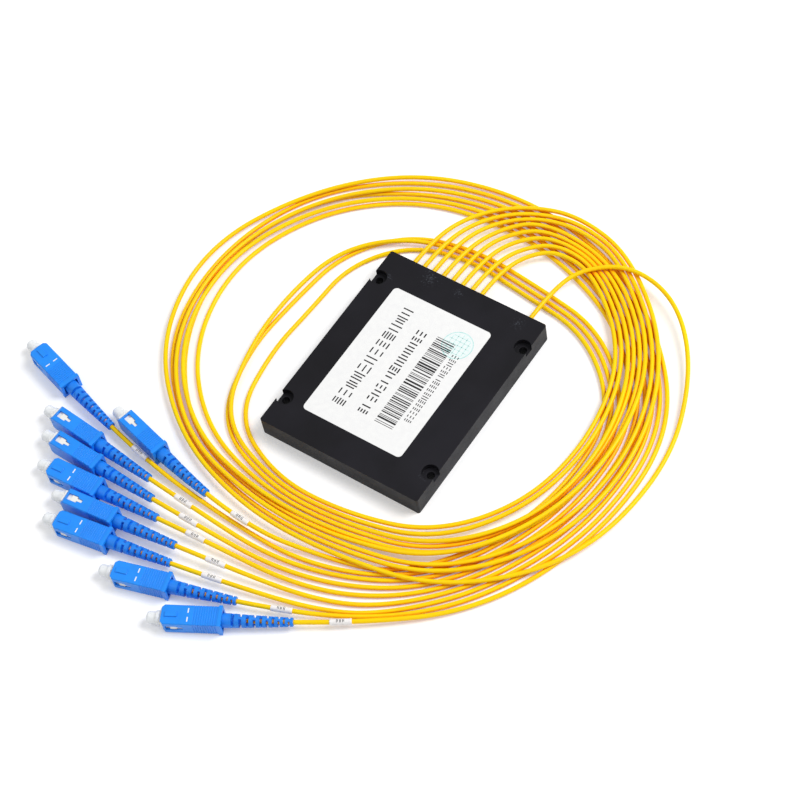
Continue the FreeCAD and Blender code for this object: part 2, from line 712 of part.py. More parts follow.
def build_spring():
    """Ferrule spring, closed up into a plain sleeve between the stop ring and the flange."""
    start, end = STOP_FRONT, WEB_REAR - S.flange_length
    return cut("spring_master", rod("spring_outside", S.spring_diameter, start, end),
               [rod("spring_inside", S.spring_bore, start, end)])


def build_stop_ring():
    """Metal stop pressed into the rear of the frame, with the stem that the jacket is crimped on."""
    insert = rod("stop_insert", S.frame_bore - 2 * S.stop_gap, STOP_FLANGE_REAR, STOP_FRONT)
    flange = rod("stop_flange", S.stop_flange_diameter, STOP_FLANGE_REAR, S.frame_start)
    stem = rod("stop_stem", S.stop_stem_diameter, STEM_REAR, STOP_FLANGE_REAR)
    hole = rod("stop_hole", S.stop_bore, STEM_REAR, STOP_FRONT)
    return cut("stop_ring_master", fuse("stop_outside", [insert, flange, stem]), [hole])


def build_crimp_sleeve():
    """Stepped sleeve: its wide end is crimped on the stem, its narrow end holds the cable jacket."""
    wide = S.stop_stem_diameter + 2 * S.stop_gap
    narrow = S.cable_diameter + 2 * S.stop_gap
    low = STEM_REAR - S.crimp_length
    step = STEM_REAR - S.crimp_wall
    outside = [rod("crimp_wide", wide + 2 * S.crimp_wall, step, STOP_FLANGE_REAR),
               rod("crimp_narrow", narrow + 2 * S.crimp_wall, low, STEM_REAR)]
    inside = [rod("crimp_wide_bore", wide, STEM_REAR, STOP_FLANGE_REAR),
              rod("crimp_narrow_bore", narrow, low, STEM_REAR)]
    return cut("crimp_sleeve_master", fuse("crimp_outside", outside), inside)


def boot_slots():
    """Rings of two opposite slots, each ring turned a quarter from the last and nearer to it."""
    slots = []
    reach = S.boot_front_diameter
    inner = S.boot_bridge / 2
    place = -S.boot_slot_first - S.boot_slot / 2
    for ring in range(SLOT_RINGS):
        for side, low in (("a", inner), ("b", -reach)):
            level = ring % 2 == 0
            at = (-reach, place, low) if level else (low, place, -reach)
            across, upward = (2 * reach, reach - inner) if level else (reach - inner, 2 * reach)
            slots.append(part("Part::Box", "boot_slot_%d_%s" % (ring + 1, side), at,
                              Length=across, Width=S.boot_slot, Height=upward))
        place = place - S.boot_slot_pitch + S.boot_slot_closing * ring
    return slots


def build_boot():
    """Tapered rubber boot, slotted all along so that it bends with its cable."""
    front = S.boot_overlap
    rear = front - S.boot_length
    collar = rod("boot_collar", S.boot_front_diameter, front - S.boot_collar, front)
    taper = part("Part::Cone", "boot_taper", (0, rear, 0), ALONG_Y, Radius1=S.boot_rear_diameter / 2,
                 Radius2=S.boot_front_diameter / 2, Height=S.boot_length - S.boot_collar)
    bore = rod("boot_bore", S.cable_diameter + 2 * S.marker_gap, rear, front)
    wide = S.stop_stem_diameter + 2 * S.stop_gap + 2 * S.crimp_wall + 2 * S.stop_gap
    crimp_room = rod("boot_crimp_room", wide, STEM_REAR - S.crimp_wall - S.stop_gap, front)
    narrow = S.cable_diameter + 2 * S.crimp_wall + 4 * S.stop_gap
    neck_room = rod("boot_neck_room", narrow, STEM_REAR - S.crimp_length, STEM_REAR)
    return cut("boot_master", fuse("boot_outside", [collar, taper]),
               [bore, crimp_room, neck_room] + boot_slots())


# ---------------------------------------------------------------- places of the connectors
# Each connector: the cable it ends, the place of its grip's rear face on the floor, the heading of
# its mouth in degrees from +X, and whether it lies with its key or with a side window upwards.

CONNECTORS = [
    ("output_8", -69.0, -82.5, 166.0, "window"),
    ("output_7", -124.5, -74.7, 164.0, "key"),
    ("output_6", -95.0, -92.5, 175.0, "window"),
    ("output_5", -88.0, -101.3, 178.0, "window"),
    ("output_4", -81.0, -110.3, 184.0, "key"),
    ("output_3", -66.0, -118.3, 186.0, "window"),
    ("output_2", -63.0, -127.3, 189.0, "key"),
    ("output_1", -28.0, -131.3, 196.0, "key"),
    ("input", 0.0, -132.8, 208.0, "key"),
]
BOOT_LEAD = 48.0


def connector_placement(x, y, heading, side_up):
    """The connector lies on the flared rim of its grip."""
    half = S.grip_height / 2 if side_up == "key" else S.grip_width / 2
    roll = Rotation(Vector(0, 1, 0), 0 if side_up == "key" else 90)
    turn = Rotation(Vector(0, 0, 1), heading - 90)
    return Placement(Vector(x, y, (half + S.grip_flare).value), turn.multiply(roll))


PLACES = {name: connector_placement(*row) for name, *row in CONNECTORS}


# ---------------------------------------------------------------- cables
# Every cable leaves its exit straight, swings to the right and lies in one and a half loose turns
# round the case before it runs into its boot. Lanes number the cables from the inside outwards.

RING_CENTRE = Vector(-5, 8, 0)
FLOOR_LAYER = 1.05
UPPER_LAYER = 3.3

# Leads from the exit sleeve to the coil, chosen by hand: x, y, z.
LEADS = {
    "output_8": [(5, 63, 5), (10, 79, 4.5), (21, 89, 3.8)],
    "output_7": [(0, 63, 5), (5, 80, 4.5), (19, 92.5, 3.8)],
    "output_6": [(-5, 64, 5), (0, 82, 4.5), (15, 95, 3.8)],
    "output_5": [(-10, 64, 5), (-5, 83, 4.5), (11, 97.5, 3.8)],
    "output_4": [(-15, 64, 5), (-9, 84, 4.5), (7, 100.3, 3.8)],
    "output_3": [(-20, 65, 5), (-14, 84.5, 4.5), (2, 99.5, 3.8), (24, 104, 3.5)],
    "output_2": [(-25, 66, 5), (-18, 85.5, 4.5), (-2, 100.5, 3.8), (22, 107, 3.5)],
    "output_1": [(-30, 67, 5), (-22, 87, 4.5), (-5, 102.5, 3.8), (19, 110, 3.5)],
    "input": [(30, 65, 5), (35, 84, 5.7), (54, 97, 5.8), (81, 90, 5.4), (104, 62, 3.6)],
}

# Stations of the coil: angle clockwise from +Y, radius of lane 0, pitch between lanes, height.
FIRST_HALF = [
    (31, 91.0, 2.6, UPPER_LAYER), (58, 92.0, 2.6, UPPER_LAYER), (85, 88.0, 3.2, UPPER_LAYER),
    (112, 88.0, 3.2, UPPER_LAYER), (139, 86.0, 3.0, UPPER_LAYER), (166, 77.0, 2.4, UPPER_LAYER),
    (193, 76.0, 2.4, FLOOR_LAYER),
]
INNER_RETURN = [
    (220, 76.0, 4.0, FLOOR_LAYER), (247, 60.0, 5.0, FLOOR_LAYER), (274, 53.0, 5.5, FLOOR_LAYER),
    (301, 59.0, 4.0, FLOOR_LAYER), (328, 63.0, 3.0, FLOOR_LAYER), (355, 57.0, 3.5, FLOOR_LAYER),
    (382, 60.0, 3.5, FLOOR_LAYER), (409, 78.0, 3.5, FLOOR_LAYER), (436, 92.0, 3.2, FLOOR_LAYER),
]
OUTER_RETURN = [
    (220, 83.6, 2.4, FLOOR_LAYER), (247, 89.8, 2.4, FLOOR_LAYER), (274, 91.3, 2.4, FLOOR_LAYER),
    (301, 88.3, 2.4, FLOOR_LAYER), (328, 81.2, 2.6, FLOOR_LAYER), (355, 73.3, 3.4, FLOOR_LAYER),
    (382, 73.8, 3.4, FLOOR_LAYER), (409, 82.4, 3.2, FLOOR_LAYER), (436, 93.0, 3.2, FLOOR_LAYER),
]
LAST_HALF = [(463, 93.0, 3.2, FLOOR_LAYER), (488, 97.0, 3.0, FLOOR_LAYER), (508, 101.0, 3.0, FLOOR_LAYER)]
INNER_LANES = 3

# The input lead lies outside the coil on its first way down: angle, radius, height.
INPUT_FIRST_HALF = [(85, 123.0, FLOOR_LAYER), (112, 122.5, UPPER_LAYER), (139, 112.0, UPPER_LAYER),
                    (166, 96.6, UPPER_LAYER), (193, 95.8, UPPER_LAYER)]

# Tails from the coil to the point behind the boot, chosen by hand: x, y.
TAILS = {
    "output_8": [(25, -86)],
    "output_7": [(12, -94), (-28, -93)],
    "output_6": [(5, -99)],
    "output_5": [(11, -101.5)],
    "output_4": [(18, -104)],
    "output_3": [(29, -105)],
    "output_2": [(33, -108)],
    "output_1": [],
    "input": [(88, -74)],
}


def ring_point(angle, radius, height):
    """A point of the coil, by its angle clockwise from +Y and its radius."""
    turn = math.radians(angle)
    return RING_CENTRE + Vector(radius * math.sin(turn), radius * math.cos(turn), height)


def cable_points(name, lane, exit_x):
    """The corners of one cable's route, from its exit sleeve to the stem in its connector."""
    points = [Vector(exit_x.value, SLEEVE_FRONT.value, S.tray_height.value)]
    points += [Vector(*place) for place in LEADS[name]]
    if name == "input":
        points += [ring_point(*station) for station in INPUT_FIRST_HALF]
    else:
        points += [ring_point(a, r + p * lane, h) for a, r, p, h in FIRST_HALF]
    back = INNER_RETURN if lane < INNER_LANES else OUTER_RETURN
    last = LAST_HALF[:1] if name == "input" else LAST_HALF
    points += [ring_point(a, r + p * lane, h) for a, r, p, h in back + last]
    points += [Vector(x, y, FLOOR_LAYER) for x, y in TAILS[name]]
    points += [PLACES[name].multVec(Vector(0, -BOOT_LEAD, 0)),
               PLACES[name].multVec(Vector(0, STEM_REAR.value, 0))]
    return points


def rounded_route(points):
    """Straight runs joined by tangent arcs, each as large as its two runs allow."""
    edges, radii = [], []
    start = points[0]
    for before, corner, after in zip(points, points[1:], points[2:]):
        back, ahead = before - corner, after - corner
        reach = 0.45 * min(back.Length, ahead.Length)
        back.normalize()
        ahead.normalize()
        half_turn = (math.pi - back.getAngle(ahead)) / 2
        radius = reach / math.tan(half_turn)
        inward = back + ahead
        inward.normalize()
        enter, leave = corner + back * reach, corner + ahead * reach
        middle = corner + inward * (radius / math.cos(half_turn) - radius)
        edges.append(Part.LineSegment(start, enter).toShape())
        edges.append(Part.Arc(enter, middle, leave).toShape())
        radii.append(radius)
        start = leave
    edges.append(Part.LineSegment(start, points[-1]).toShape())
    return edges, radii


def sweep(edges, diameter):
    """A round bar along a chain of edges."""
    first = edges[0]
    start = first.valueAt(first.FirstParameter)
    along = first.tangentAt(first.FirstParameter)
    profile = Part.Wire([Part.makeCircle(diameter / 2, start, along)])
    return Part.Wire(edges).makePipeShell([profile], True, False)


def build_cable(name, points):
    """One cable as a plain tube, and the path that it follows."""
    edges, radii = rounded_route(points)
    cable = DOC.addObject("Part::Feature", name + "_cable")
    cable.Shape = sweep(edges, S.cable_diameter.value)
    length = sum(edge.Length for edge in edges)
    expected = length * math.pi * S.cable_diameter.value ** 2 / 4
    print("%s_cable: length %.0f mm, tightest arc %.1f mm, arcs %s, volume %.4f of section x length" % (
        name, length, min(radii), " ".join("%.0f" % r for r in radii), cable.Shape.Volume / expected))
    return cable, edges


def build_marker(edges):
    """A number sleeve shrunk on the bend behind the boot."""
    arc = edges[-2]
    middle = (arc.FirstParameter + arc.LastParameter) / 2
    half = S.marker_length.value / arc.Curve.Radius / 2
    stretch = [Part.ArcOfCircle(arc.Curve, middle - half, middle + half).toShape()]
    bore = S.cable_diameter.value + 2 * S.marker_gap.value
    return sweep(stretch, S.marker_diameter.value).cut(sweep(stretch, bore))


# ---------------------------------------------------------------- assembly

def place(master, name, placement):
    """A linked copy of a connector piece at its place."""
    link = DOC.addObject("App::Link", name)
    link.LinkedObject = master
    link.Placement = placement
    return link


def build_connectors():
    """Nine copies of each connector piece: the ones that move or show are nodes of their own."""
    own = {"grip": build_grip(), "plug_frame": build_plug_frame(), "boot": build_boot(),
           "dust_cap": build_dust_cap()}
    shared = {"ferrules": build_ferrule(), "ferrule_springs": build_spring(),
              "stop_rings": build_stop_ring(), "crimp_sleeves": build_crimp_sleeve()}
    DOC.recompute()
    nodes = []
    for piece, master in own.items():
        nodes += [place(master, name + "_" + piece, PLACES[name]) for name in NAMES]
    for group, master in shared.items():
        node = DOC.addObject("Part::Compound", group)
        node.Links = [place(master, group + "_" + name, PLACES[name]) for name in NAMES]
        nodes.append(node)
    return nodes


def build_cables():
    """The nine cables and the number sleeves on them."""
    nodes, markers = [], []
    exits = dict(zip(NAMES, EXITS))
    for lane, (name, *rest) in enumerate(CONNECTORS):
        cable, edges = build_cable(name, cable_points(name, lane, exits[name]))
        nodes.append(cable)
        markers.append(build_marker(edges))
    sleeves = DOC.addObject("Part::Feature", "number_sleeves")
    sleeves.Shape = Part.Compound(markers)
    return nodes + [sleeves]


def check_and_export(nodes):
    """Stop on any failed object or bad shape, then write one STEP file for each node."""
    DOC.recompute()
    for thing in DOC.Objects:
        if "Invalid" in thing.State or "Error" in thing.State:
            raise RuntimeError(thing.Label + " failed: " + " ".join(thing.State))
    os.makedirs("parts", exist_ok=True)
    for node in nodes:
        shape = node.Shape
        if shape.isNull() or not shape.isValid() or not shape.Solids:
            raise RuntimeError(node.Label + " has no valid solid")
    for node in nodes:
        node.Shape.exportStep("parts/" + node.Label + ".step")
    print("%d nodes, %d solids" % (len(nodes), sum(len(n.Shape.Solids) for n in nodes)))


def main():
    nodes = [build_tray(), build_cover(), build_label()]
    nodes += build_splitter() + [build_inner_fibres(), build_sleeves()]
    nodes += build_connectors() + build_cables()
    check_and_export(nodes)


main()
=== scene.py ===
"""Fibre splitter module with nine coiled pigtails: finishes, cables, boots, print and studio.

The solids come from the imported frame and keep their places. This script dresses them, lays the
cables as smooth curves along the same routes as the part's source, bends the boots along the
cables, prints the label and the plugs, and sets up a plain pale studio.
"""
import json
import logging
import math
import random
from dataclasses import dataclass, field
from enum import Enum

import bmesh
import bpy
from mathutils import Matrix, Vector


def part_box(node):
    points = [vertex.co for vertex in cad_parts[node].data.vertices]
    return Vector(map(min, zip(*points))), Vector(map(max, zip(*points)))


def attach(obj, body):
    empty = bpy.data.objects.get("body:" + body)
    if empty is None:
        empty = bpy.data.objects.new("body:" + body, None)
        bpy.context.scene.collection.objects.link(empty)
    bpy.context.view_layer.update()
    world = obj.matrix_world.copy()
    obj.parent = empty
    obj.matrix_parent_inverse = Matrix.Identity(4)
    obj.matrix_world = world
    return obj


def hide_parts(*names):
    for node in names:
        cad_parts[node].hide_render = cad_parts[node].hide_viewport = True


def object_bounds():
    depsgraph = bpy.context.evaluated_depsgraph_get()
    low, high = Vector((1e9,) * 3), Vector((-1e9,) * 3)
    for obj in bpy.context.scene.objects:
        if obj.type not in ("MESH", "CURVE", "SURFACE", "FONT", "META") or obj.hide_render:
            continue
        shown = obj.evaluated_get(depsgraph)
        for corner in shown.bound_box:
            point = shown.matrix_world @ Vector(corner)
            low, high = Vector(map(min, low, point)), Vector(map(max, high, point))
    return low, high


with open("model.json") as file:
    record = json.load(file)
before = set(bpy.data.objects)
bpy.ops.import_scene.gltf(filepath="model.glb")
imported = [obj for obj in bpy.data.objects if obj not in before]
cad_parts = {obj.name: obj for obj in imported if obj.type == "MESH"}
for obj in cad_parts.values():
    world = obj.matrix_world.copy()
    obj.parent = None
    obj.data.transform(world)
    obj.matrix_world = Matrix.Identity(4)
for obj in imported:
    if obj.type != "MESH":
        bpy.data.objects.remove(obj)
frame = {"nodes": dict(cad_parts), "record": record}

LOG = logging.getLogger("fibre_splitter")
MM = 0.001

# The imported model's box, taken before anything is dressed.
CAD_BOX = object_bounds()


# ---------------------------------------------------------------- shared helpers

# The sRGB curve: a straight foot, then a power.
SRGB_FOOT, SRGB_SLOPE, SRGB_SCALE, SRGB_POWER = 0.04045, 12.92, 1.055, 2.4


def linear(hex_colour: str) -> tuple[float, float, float, float]:
    """Turn an sRGB hex colour into linear RGBA.

    Args:
        hex_colour: Six hex digits with a leading hash.

    Returns:
        Red, green, blue and an alpha of 1.
    """
    channels = [int(hex_colour[i:i + 2], 16) / 255 for i in (1, 3, 5)]
    red, green, blue = (
        c / SRGB_SLOPE if c <= SRGB_FOOT else ((c + SRGB_SCALE - 1) / SRGB_SCALE) ** SRGB_POWER
        for c in channels)
    return red, green, blue, 1.0


def add_node(tree: bpy.types.NodeTree, kind: str, settings: dict | None = None,
             links: dict | None = None) -> bpy.types.Node:
    """Add one shader node with its settings and links.

    Args:
        tree: The material's node tree.
        kind: The node's type, such as "ShaderNodeTexNoise".
        settings: Values by name, for the node's own properties or for its input sockets.
        links: Output sockets, by the name or number of the input that each feeds.

    Returns:
        The new node.
    """
    node = tree.nodes.new(kind)
    for name, value in (settings or {}).items():
        if isinstance(name, str) and hasattr(node, name):
            setattr(node, name, value)
        else:
            node.inputs[name].default_value = value
    for name, socket in (links or {}).items():
        tree.links.new(socket, node.inputs[name])
    return node


def mesh_object(name: str, mesh: bmesh.types.BMesh, material: bpy.types.Material,
                smooth_angle: float = 35.0) -> bpy.types.Object:
    """Turn a bmesh into an object of the scene, smooth across its gentle edges.

    Args:
        name: The piece's name.
        mesh: The geometry, in metres in the row frame. It is freed.
        material: The piece's material.
        smooth_angle: Edges sharper than this many degrees stay sharp.

    Returns:
        The new object.
    """
    bmesh.ops.recalc_face_normals(mesh, faces=mesh.faces)
    limit = math.radians(smooth_angle)
    for face in mesh.faces:
        face.smooth = True
    for edge in mesh.edges:
        edge.smooth = len(edge.link_faces) == 2 and edge.calc_face_angle(0.0) < limit
    data = bpy.data.meshes.new(name)
    mesh.to_mesh(data)
    mesh.free()
    data.materials.append(material)
    made = bpy.data.objects.new(name, data)
    bpy.context.scene.collection.objects.link(made)
    return made


def add_block(mesh: bmesh.types.BMesh, place: Matrix, centre: tuple[float, float, float],
              size: tuple[float, float, float]) -> None:
    """Add a closed box to a mesh.

    Args:
        mesh: The mesh, in metres in the row frame.
        place: A frame in millimetres that the box stands square in.
        centre: The box's centre in that frame.
        size: The box's three lengths, mm.
    """
    to_metres = Matrix.Scale(MM, 4) @ place @ Matrix.Translation(centre)
    bmesh.ops.create_cube(mesh, size=1.0, matrix=to_metres @ Matrix.Diagonal((*size, 1.0)))


# ---------------------------------------------------------------- finishes

# Sockets of the colour form of the Mix node, by number, because their names repeat.
MIX_FACTOR, MIX_A, MIX_B, MIX_RESULT = 0, 6, 7, 2


@dataclass(frozen=True)
class Finish:
    """A surface finish: a base colour with tone, gloss and relief that vary over real distances.

    Attributes:
        name: The material's name: what it is and how its surface was made.
        colour: Main colour, sRGB hex.
        shade: Second colour that the main one drifts to, sRGB hex.
        shade_share: How far the drift goes, 0 to 1.
        shade_mm: Size of the patches of drift.
        roughness: Mean roughness.
        roughness_swing: How far the roughness strays each way.
        grain_mm: Spacing of the surface relief.
        grain_depth_mm: Depth of the surface relief.
        edge_mm: Radius that the light finds on moulded edges.
        ior: Index of refraction.
        metallic: 1 for a metal.
        extra: Further settings of the shader's own sockets.
    """

    name: str
    colour: str
    shade: str
    shade_share: float = 0.5
    shade_mm: float = 12.0
    roughness: float = 0.4
    roughness_swing: float = 0.05
    grain_mm: float = 0.5
    grain_depth_mm: float = 0.01
    edge_mm: float = 0.0
    ior: float = 1.5
    metallic: float = 0.0
    extra: tuple[tuple[str, object], ...] = ()

    # The stretch of each noise that is spread over the whole swing.
    TONE_SPAN = (0.35, 0.65)
    GLOSS_SPAN = (0.3, 0.7)
    # The gloss strays in patches this many times finer than the tone.
    GLOSS_FINENESS = 3
    RELIEF_STRENGTH = 0.6

    def build(self) -> bpy.types.Material:
        """Make the material.

        Returns:
            The material, with its node tree.
        """
        material = bpy.data.materials.new(self.name)
        material.use_nodes = True
        tree = material.node_tree
        tree.nodes.clear()
        place = add_node(tree, "ShaderNodeTexCoord")
        shader = add_node(tree, "ShaderNodeBsdfPrincipled", {
            "IOR": self.ior, "Metallic": self.metallic, **dict(self.extra)}, {
            "Base Color": self.tone(tree, place.outputs["Object"]),
            "Roughness": self.gloss(tree, place.outputs["Object"]),
            "Normal": self.relief(tree, place.outputs["Object"])})
        add_node(tree, "ShaderNodeOutputMaterial", links={"Surface": shader.outputs["BSDF"]})
        return material

    def tone(self, tree: bpy.types.NodeTree, place: bpy.types.NodeSocket) -> bpy.types.NodeSocket:
        """Colour that drifts slowly between the two tones.

        Args:
            tree: The material's node tree.
            place: Coordinates on the object, in metres.

        Returns:
            A colour socket.
        """
        patches = add_node(tree, "ShaderNodeTexNoise", {
            "Scale": 1 / (self.shade_mm * MM), "Detail": 3.0}, {"Vector": place})
        low, high = self.TONE_SPAN
        share = add_node(tree, "ShaderNodeMapRange", {
            "From Min": low, "From Max": high, "To Max": self.shade_share},
            {"Value": patches.outputs["Fac"]})
        mix = add_node(tree, "ShaderNodeMix", {
            "data_type": "RGBA", MIX_A: linear(self.colour), MIX_B: linear(self.shade)},
            {MIX_FACTOR: share.outputs["Result"]})
        return mix.outputs[MIX_RESULT]

    def gloss(self, tree: bpy.types.NodeTree, place: bpy.types.NodeSocket) -> bpy.types.NodeSocket:
        """Roughness that strays a little about its mean.

        Args:
            tree: The material's node tree.
            place: Coordinates on the object, in metres.

        Returns:
            A value socket.
        """
        wear = add_node(tree, "ShaderNodeTexNoise", {
            "Scale": self.GLOSS_FINENESS / (self.shade_mm * MM), "Detail": 2.0}, {"Vector": place})
        low, high = self.GLOSS_SPAN
        swing = add_node(tree, "ShaderNodeMapRange", {
            "From Min": low, "From Max": high, "To Min": self.roughness - self.roughness_swing,
            "To Max": self.roughness + self.roughness_swing}, {"Value": wear.outputs["Fac"]})
        return swing.outputs["Result"]

    def relief(self, tree: bpy.types.NodeTree, place: bpy.types.NodeSocket) -> bpy.types.NodeSocket:
        """Fine grain on top of edges that are softly rounded.

        Args:
            tree: The material's node tree.
            place: Coordinates on the object, in metres.

        Returns:
            A normal socket.
        """
        grain = add_node(tree, "ShaderNodeTexNoise", {
            "Scale": 1 / (self.grain_mm * MM), "Detail": 2.0}, {"Vector": place})
        links = {"Height": grain.outputs["Fac"]}
        if self.edge_mm:
            edge = add_node(tree, "ShaderNodeBevel", {"samples": 4, "Radius": self.edge_mm * MM})
            links["Normal"] = edge.outputs["Normal"]
        bump = add_node(tree, "ShaderNodeBump", {
            "Strength": self.RELIEF_STRENGTH, "Distance": self.grain_depth_mm * MM}, links)
        return bump.outputs["Normal"]


@dataclass(frozen=True)
class HandledFinish(Finish):
    """A finish with pale smears of dust where fingers and cables have rubbed it.

    Attributes:
        smears: Middle of each smear on the object, mm, and its half length, mm.
        dust: Colour of the dust, sRGB hex.
        dust_share: How far the dust covers the colour at most, 0 to 1.
        streak_mm: Size of the streaks within a smear.
    """

    smears: tuple[tuple[tuple[float, float, float], float], ...] = ()
    dust: str = "#50545c"
    dust_share: float = 0.5
    streak_mm: float = 0.9

    # Streaks show where their noise passes a limit, which rises from a smear's middle to its end.
    # They reach their full strength this far above it.
    LIMIT_MIDDLE, LIMIT_END = 0.46, 0.76
    FADE = 0.12

    def tone(self, tree: bpy.types.NodeTree, place: bpy.types.NodeSocket) -> bpy.types.NodeSocket:
        """The drifting colour with the smears over it.

        Args:
            tree: The material's node tree.
            place: Coordinates on the object, in metres.

        Returns:
            A colour socket.
        """
        colour = super().tone(tree, place)
        streaks = add_node(tree, "ShaderNodeTexNoise", {
            "Scale": 1 / (self.streak_mm * MM), "Detail": 4.0, "Roughness": 0.7}, {"Vector": place})
        for centre, reach in self.smears:
            distance = add_node(tree, "ShaderNodeVectorMath", {
                "operation": "DISTANCE", 1: Vector(centre) * MM}, {0: place})
            near = add_node(tree, "ShaderNodeMapRange", {
                "From Max": reach * MM, "To Min": self.LIMIT_MIDDLE, "To Max": self.LIMIT_END},
                {"Value": distance.outputs["Value"]})
            share = add_node(tree, "ShaderNodeMath", {"operation": "SUBTRACT", "use_clamp": True}, {
                0: streaks.outputs["Fac"], 1: near.outputs["Result"]})
            rise = add_node(tree, "ShaderNodeMapRange", {
                "From Max": self.FADE, "To Max": self.dust_share},
                {"Value": share.outputs["Value"]})
            mix = add_node(tree, "ShaderNodeMix", {"data_type": "RGBA", MIX_B: linear(self.dust)}, {
                MIX_FACTOR: rise.outputs["Result"], MIX_A: colour})
            colour = mix.outputs[MIX_RESULT]
        return colour


@dataclass(frozen=True)
class PaintedShadeFinish(Finish):
    """A finish with painted shade: its colour is painted deeper where surfaces lie close, for the
    shade and the light bounced between them.

    Attributes:
        painted_shade_colour: The colour of the painted shade where it is deepest, sRGB hex.
        reach_mm: How near the other surface has to be.
    """

    painted_shade_colour: str = "#ffa200"
    reach_mm: float = 3.0

    # Openness below which the painted shade is deepest, and above which none is painted.
    OPENNESS_SPAN = (0.3, 0.85)

    def tone(self, tree: bpy.types.NodeTree, place: bpy.types.NodeSocket) -> bpy.types.NodeSocket:
        """The drifting colour, with painted shade deepening it in the gaps.

        Args:
            tree: The material's node tree.
            place: Coordinates on the object, in metres.

        Returns:
            A colour socket.
        """
        colour = super().tone(tree, place)
        # Painted shade: ambient occlusion mixes in the deep orange where other surfaces are near,
        # standing in for shade and bounced light.
        room = add_node(tree, "ShaderNodeAmbientOcclusion", {
            "samples": 8, "Distance": self.reach_mm * MM})
        low, high = self.OPENNESS_SPAN
        share = add_node(tree, "ShaderNodeMapRange", {"From Min": low, "From Max": high}, {
            "Value": room.outputs["AO"]})
        mix = add_node(tree, "ShaderNodeMix", {
            "data_type": "RGBA", MIX_A: linear(self.painted_shade_colour)}, {
            MIX_FACTOR: share.outputs["Result"], MIX_B: colour})
        return mix.outputs[MIX_RESULT]


# The real grain of these surfaces is a tenth of a millimetre or less. Where that is too fine to
# show, it is drawn coarser.

# Black ABS from a spark-eroded mould: an even satin grain. Real grit is 0.1 mm; it is drawn nine
# times coarser, so that it shows.
CASE_ABS = HandledFinish(
    "moulded_black_abs", "#121116", "#1c1b22", shade_share=0.7, shade_mm=26.0, roughness=0.5,
    grain_mm=0.9, grain_depth_mm=0.022, edge_mm=0.25, ior=1.53,
    extra=(("Specular IOR Level", 0.2),),
    smears=(((-17.0, 46.0, 10.0), 10.0), ((-2.0, 45.5, 10.0), 6.0), ((29.0, 44.5, 10.0), 7.0),
            ((-33.0, 38.0, 10.0), 5.0), ((36.0, -38.0, 10.0), 6.0)))
# Blue PBT from a polished mould: strong colour with a broad, soft shine.
PLUG_PBT = Finish(
    "moulded_blue_pbt", "#1291fc", "#0e85ee", shade_mm=6.0, roughness=0.36, roughness_swing=0.04,
    grain_mm=0.4, grain_depth_mm=0.004, edge_mm=0.15, ior=1.55)
# Blue thermoplastic rubber of the boots: the same dye, less shine.
BOOT_TPE = Finish(
    "moulded_blue_tpe", "#1086f2", "#0b73db", shade_mm=4.0, roughness=0.5, roughness_swing=0.06,
    grain_mm=0.35, grain_depth_mm=0.006, edge_mm=0.08, ior=1.5)
# White PBT of the plug frames: opaque, faintly warm.
FRAME_PBT = Finish(
    "moulded_white_pbt", "#f4f3ee", "#e9e7de", shade_mm=5.0, roughness=0.35, roughness_swing=0.05,
    grain_mm=0.4, grain_depth_mm=0.004, edge_mm=0.12, ior=1.55)
# Natural polyethylene of the dust caps: milky, light goes a little way in.
CAP_PE = Finish(
    "moulded_milky_pe", "#eef1f3", "#e4e8ec", shade_mm=4.0, roughness=0.3, roughness_swing=0.06,
    grain_mm=0.5, grain_depth_mm=0.004, edge_mm=0.2, ior=1.51,
    extra=(("Subsurface Weight", 0.6), ("Subsurface Scale", 0.002),
           ("Subsurface Radius", (1.0, 1.0, 1.0))))
# Yellow PVC drawn through a die: smooth satin skin with a slight orange-peel. Where the cables lie
# close, its colour is painted deeper orange: painted shade and bounced light.
JACKET_PVC = PaintedShadeFinish(
    "extruded_yellow_pvc", "#ffd800", "#ffc800", shade_mm=18.0, roughness=0.36, roughness_swing=0.05,
    grain_mm=0.6, grain_depth_mm=0.006, ior=1.52, extra=(("Specular IOR Level", 0.2),))
# White film of the number sleeves, shrunk on: slightly wavy and shiny.
SLEEVE_FILM = Finish(
    "shrunk_white_film", "#f5f2f0", "#ebe6e4", shade_mm=3.0, roughness=0.3, roughness_swing=0.06,
    grain_mm=1.2, grain_depth_mm=0.03, ior=1.48)
# Coated label paper: matt, with short fibres that show as faint mottling.
LABEL_PAPER = Finish(
    "coated_label_paper", "#f1f1f0", "#e9e9ea", shade_mm=2.5, roughness=0.6, roughness_swing=0.04,
    grain_mm=0.3, grain_depth_mm=0.004, ior=1.5)
# Black thermal-transfer print: a thin even film, a little shinier than the paper.
PRINT_BLACK = Finish(
    "printed_black_wax", "#1c1b1d", "#2a292b", shade_mm=1.5, roughness=0.45, roughness_swing=0.05,
    grain_mm=0.3, grain_depth_mm=0.003)
# Pale turquoise stamp ink: thin and uneven, so the paper shows through it.
STAMP_INK = Finish(
    "stamped_turquoise_ink", "#a9e0dc", "#d0f0ed", shade_share=1.0, shade_mm=1.2, roughness=0.55,
    grain_mm=0.3, grain_depth_mm=0.003)
# The wash of thin ink inside the stamp's ring: a breath of colour on the paper.
STAMP_WASH = Finish(
    "washed_turquoise_ink", "#e6f1f0", "#ecf2f2", shade_share=1.0, shade_mm=1.6, roughness=0.58,
    grain_mm=0.3, grain_depth_mm=0.003)
# White pad-printed marks on the plugs.
MARK_WHITE = Finish(
    "pad_printed_white", "#f3f6fa", "#dfe8f2", shade_mm=1.0, roughness=0.4, grain_mm=0.3,
    grain_depth_mm=0.002)
# Polished zirconia of the ferrules: white, hard and very smooth.
ZIRCONIA = Finish(
    "polished_zirconia", "#f2f1ee", "#eae8e2", shade_mm=3.0, roughness=0.12, roughness_swing=0.03,
    grain_mm=0.2, grain_depth_mm=0.0005, ior=2.1)
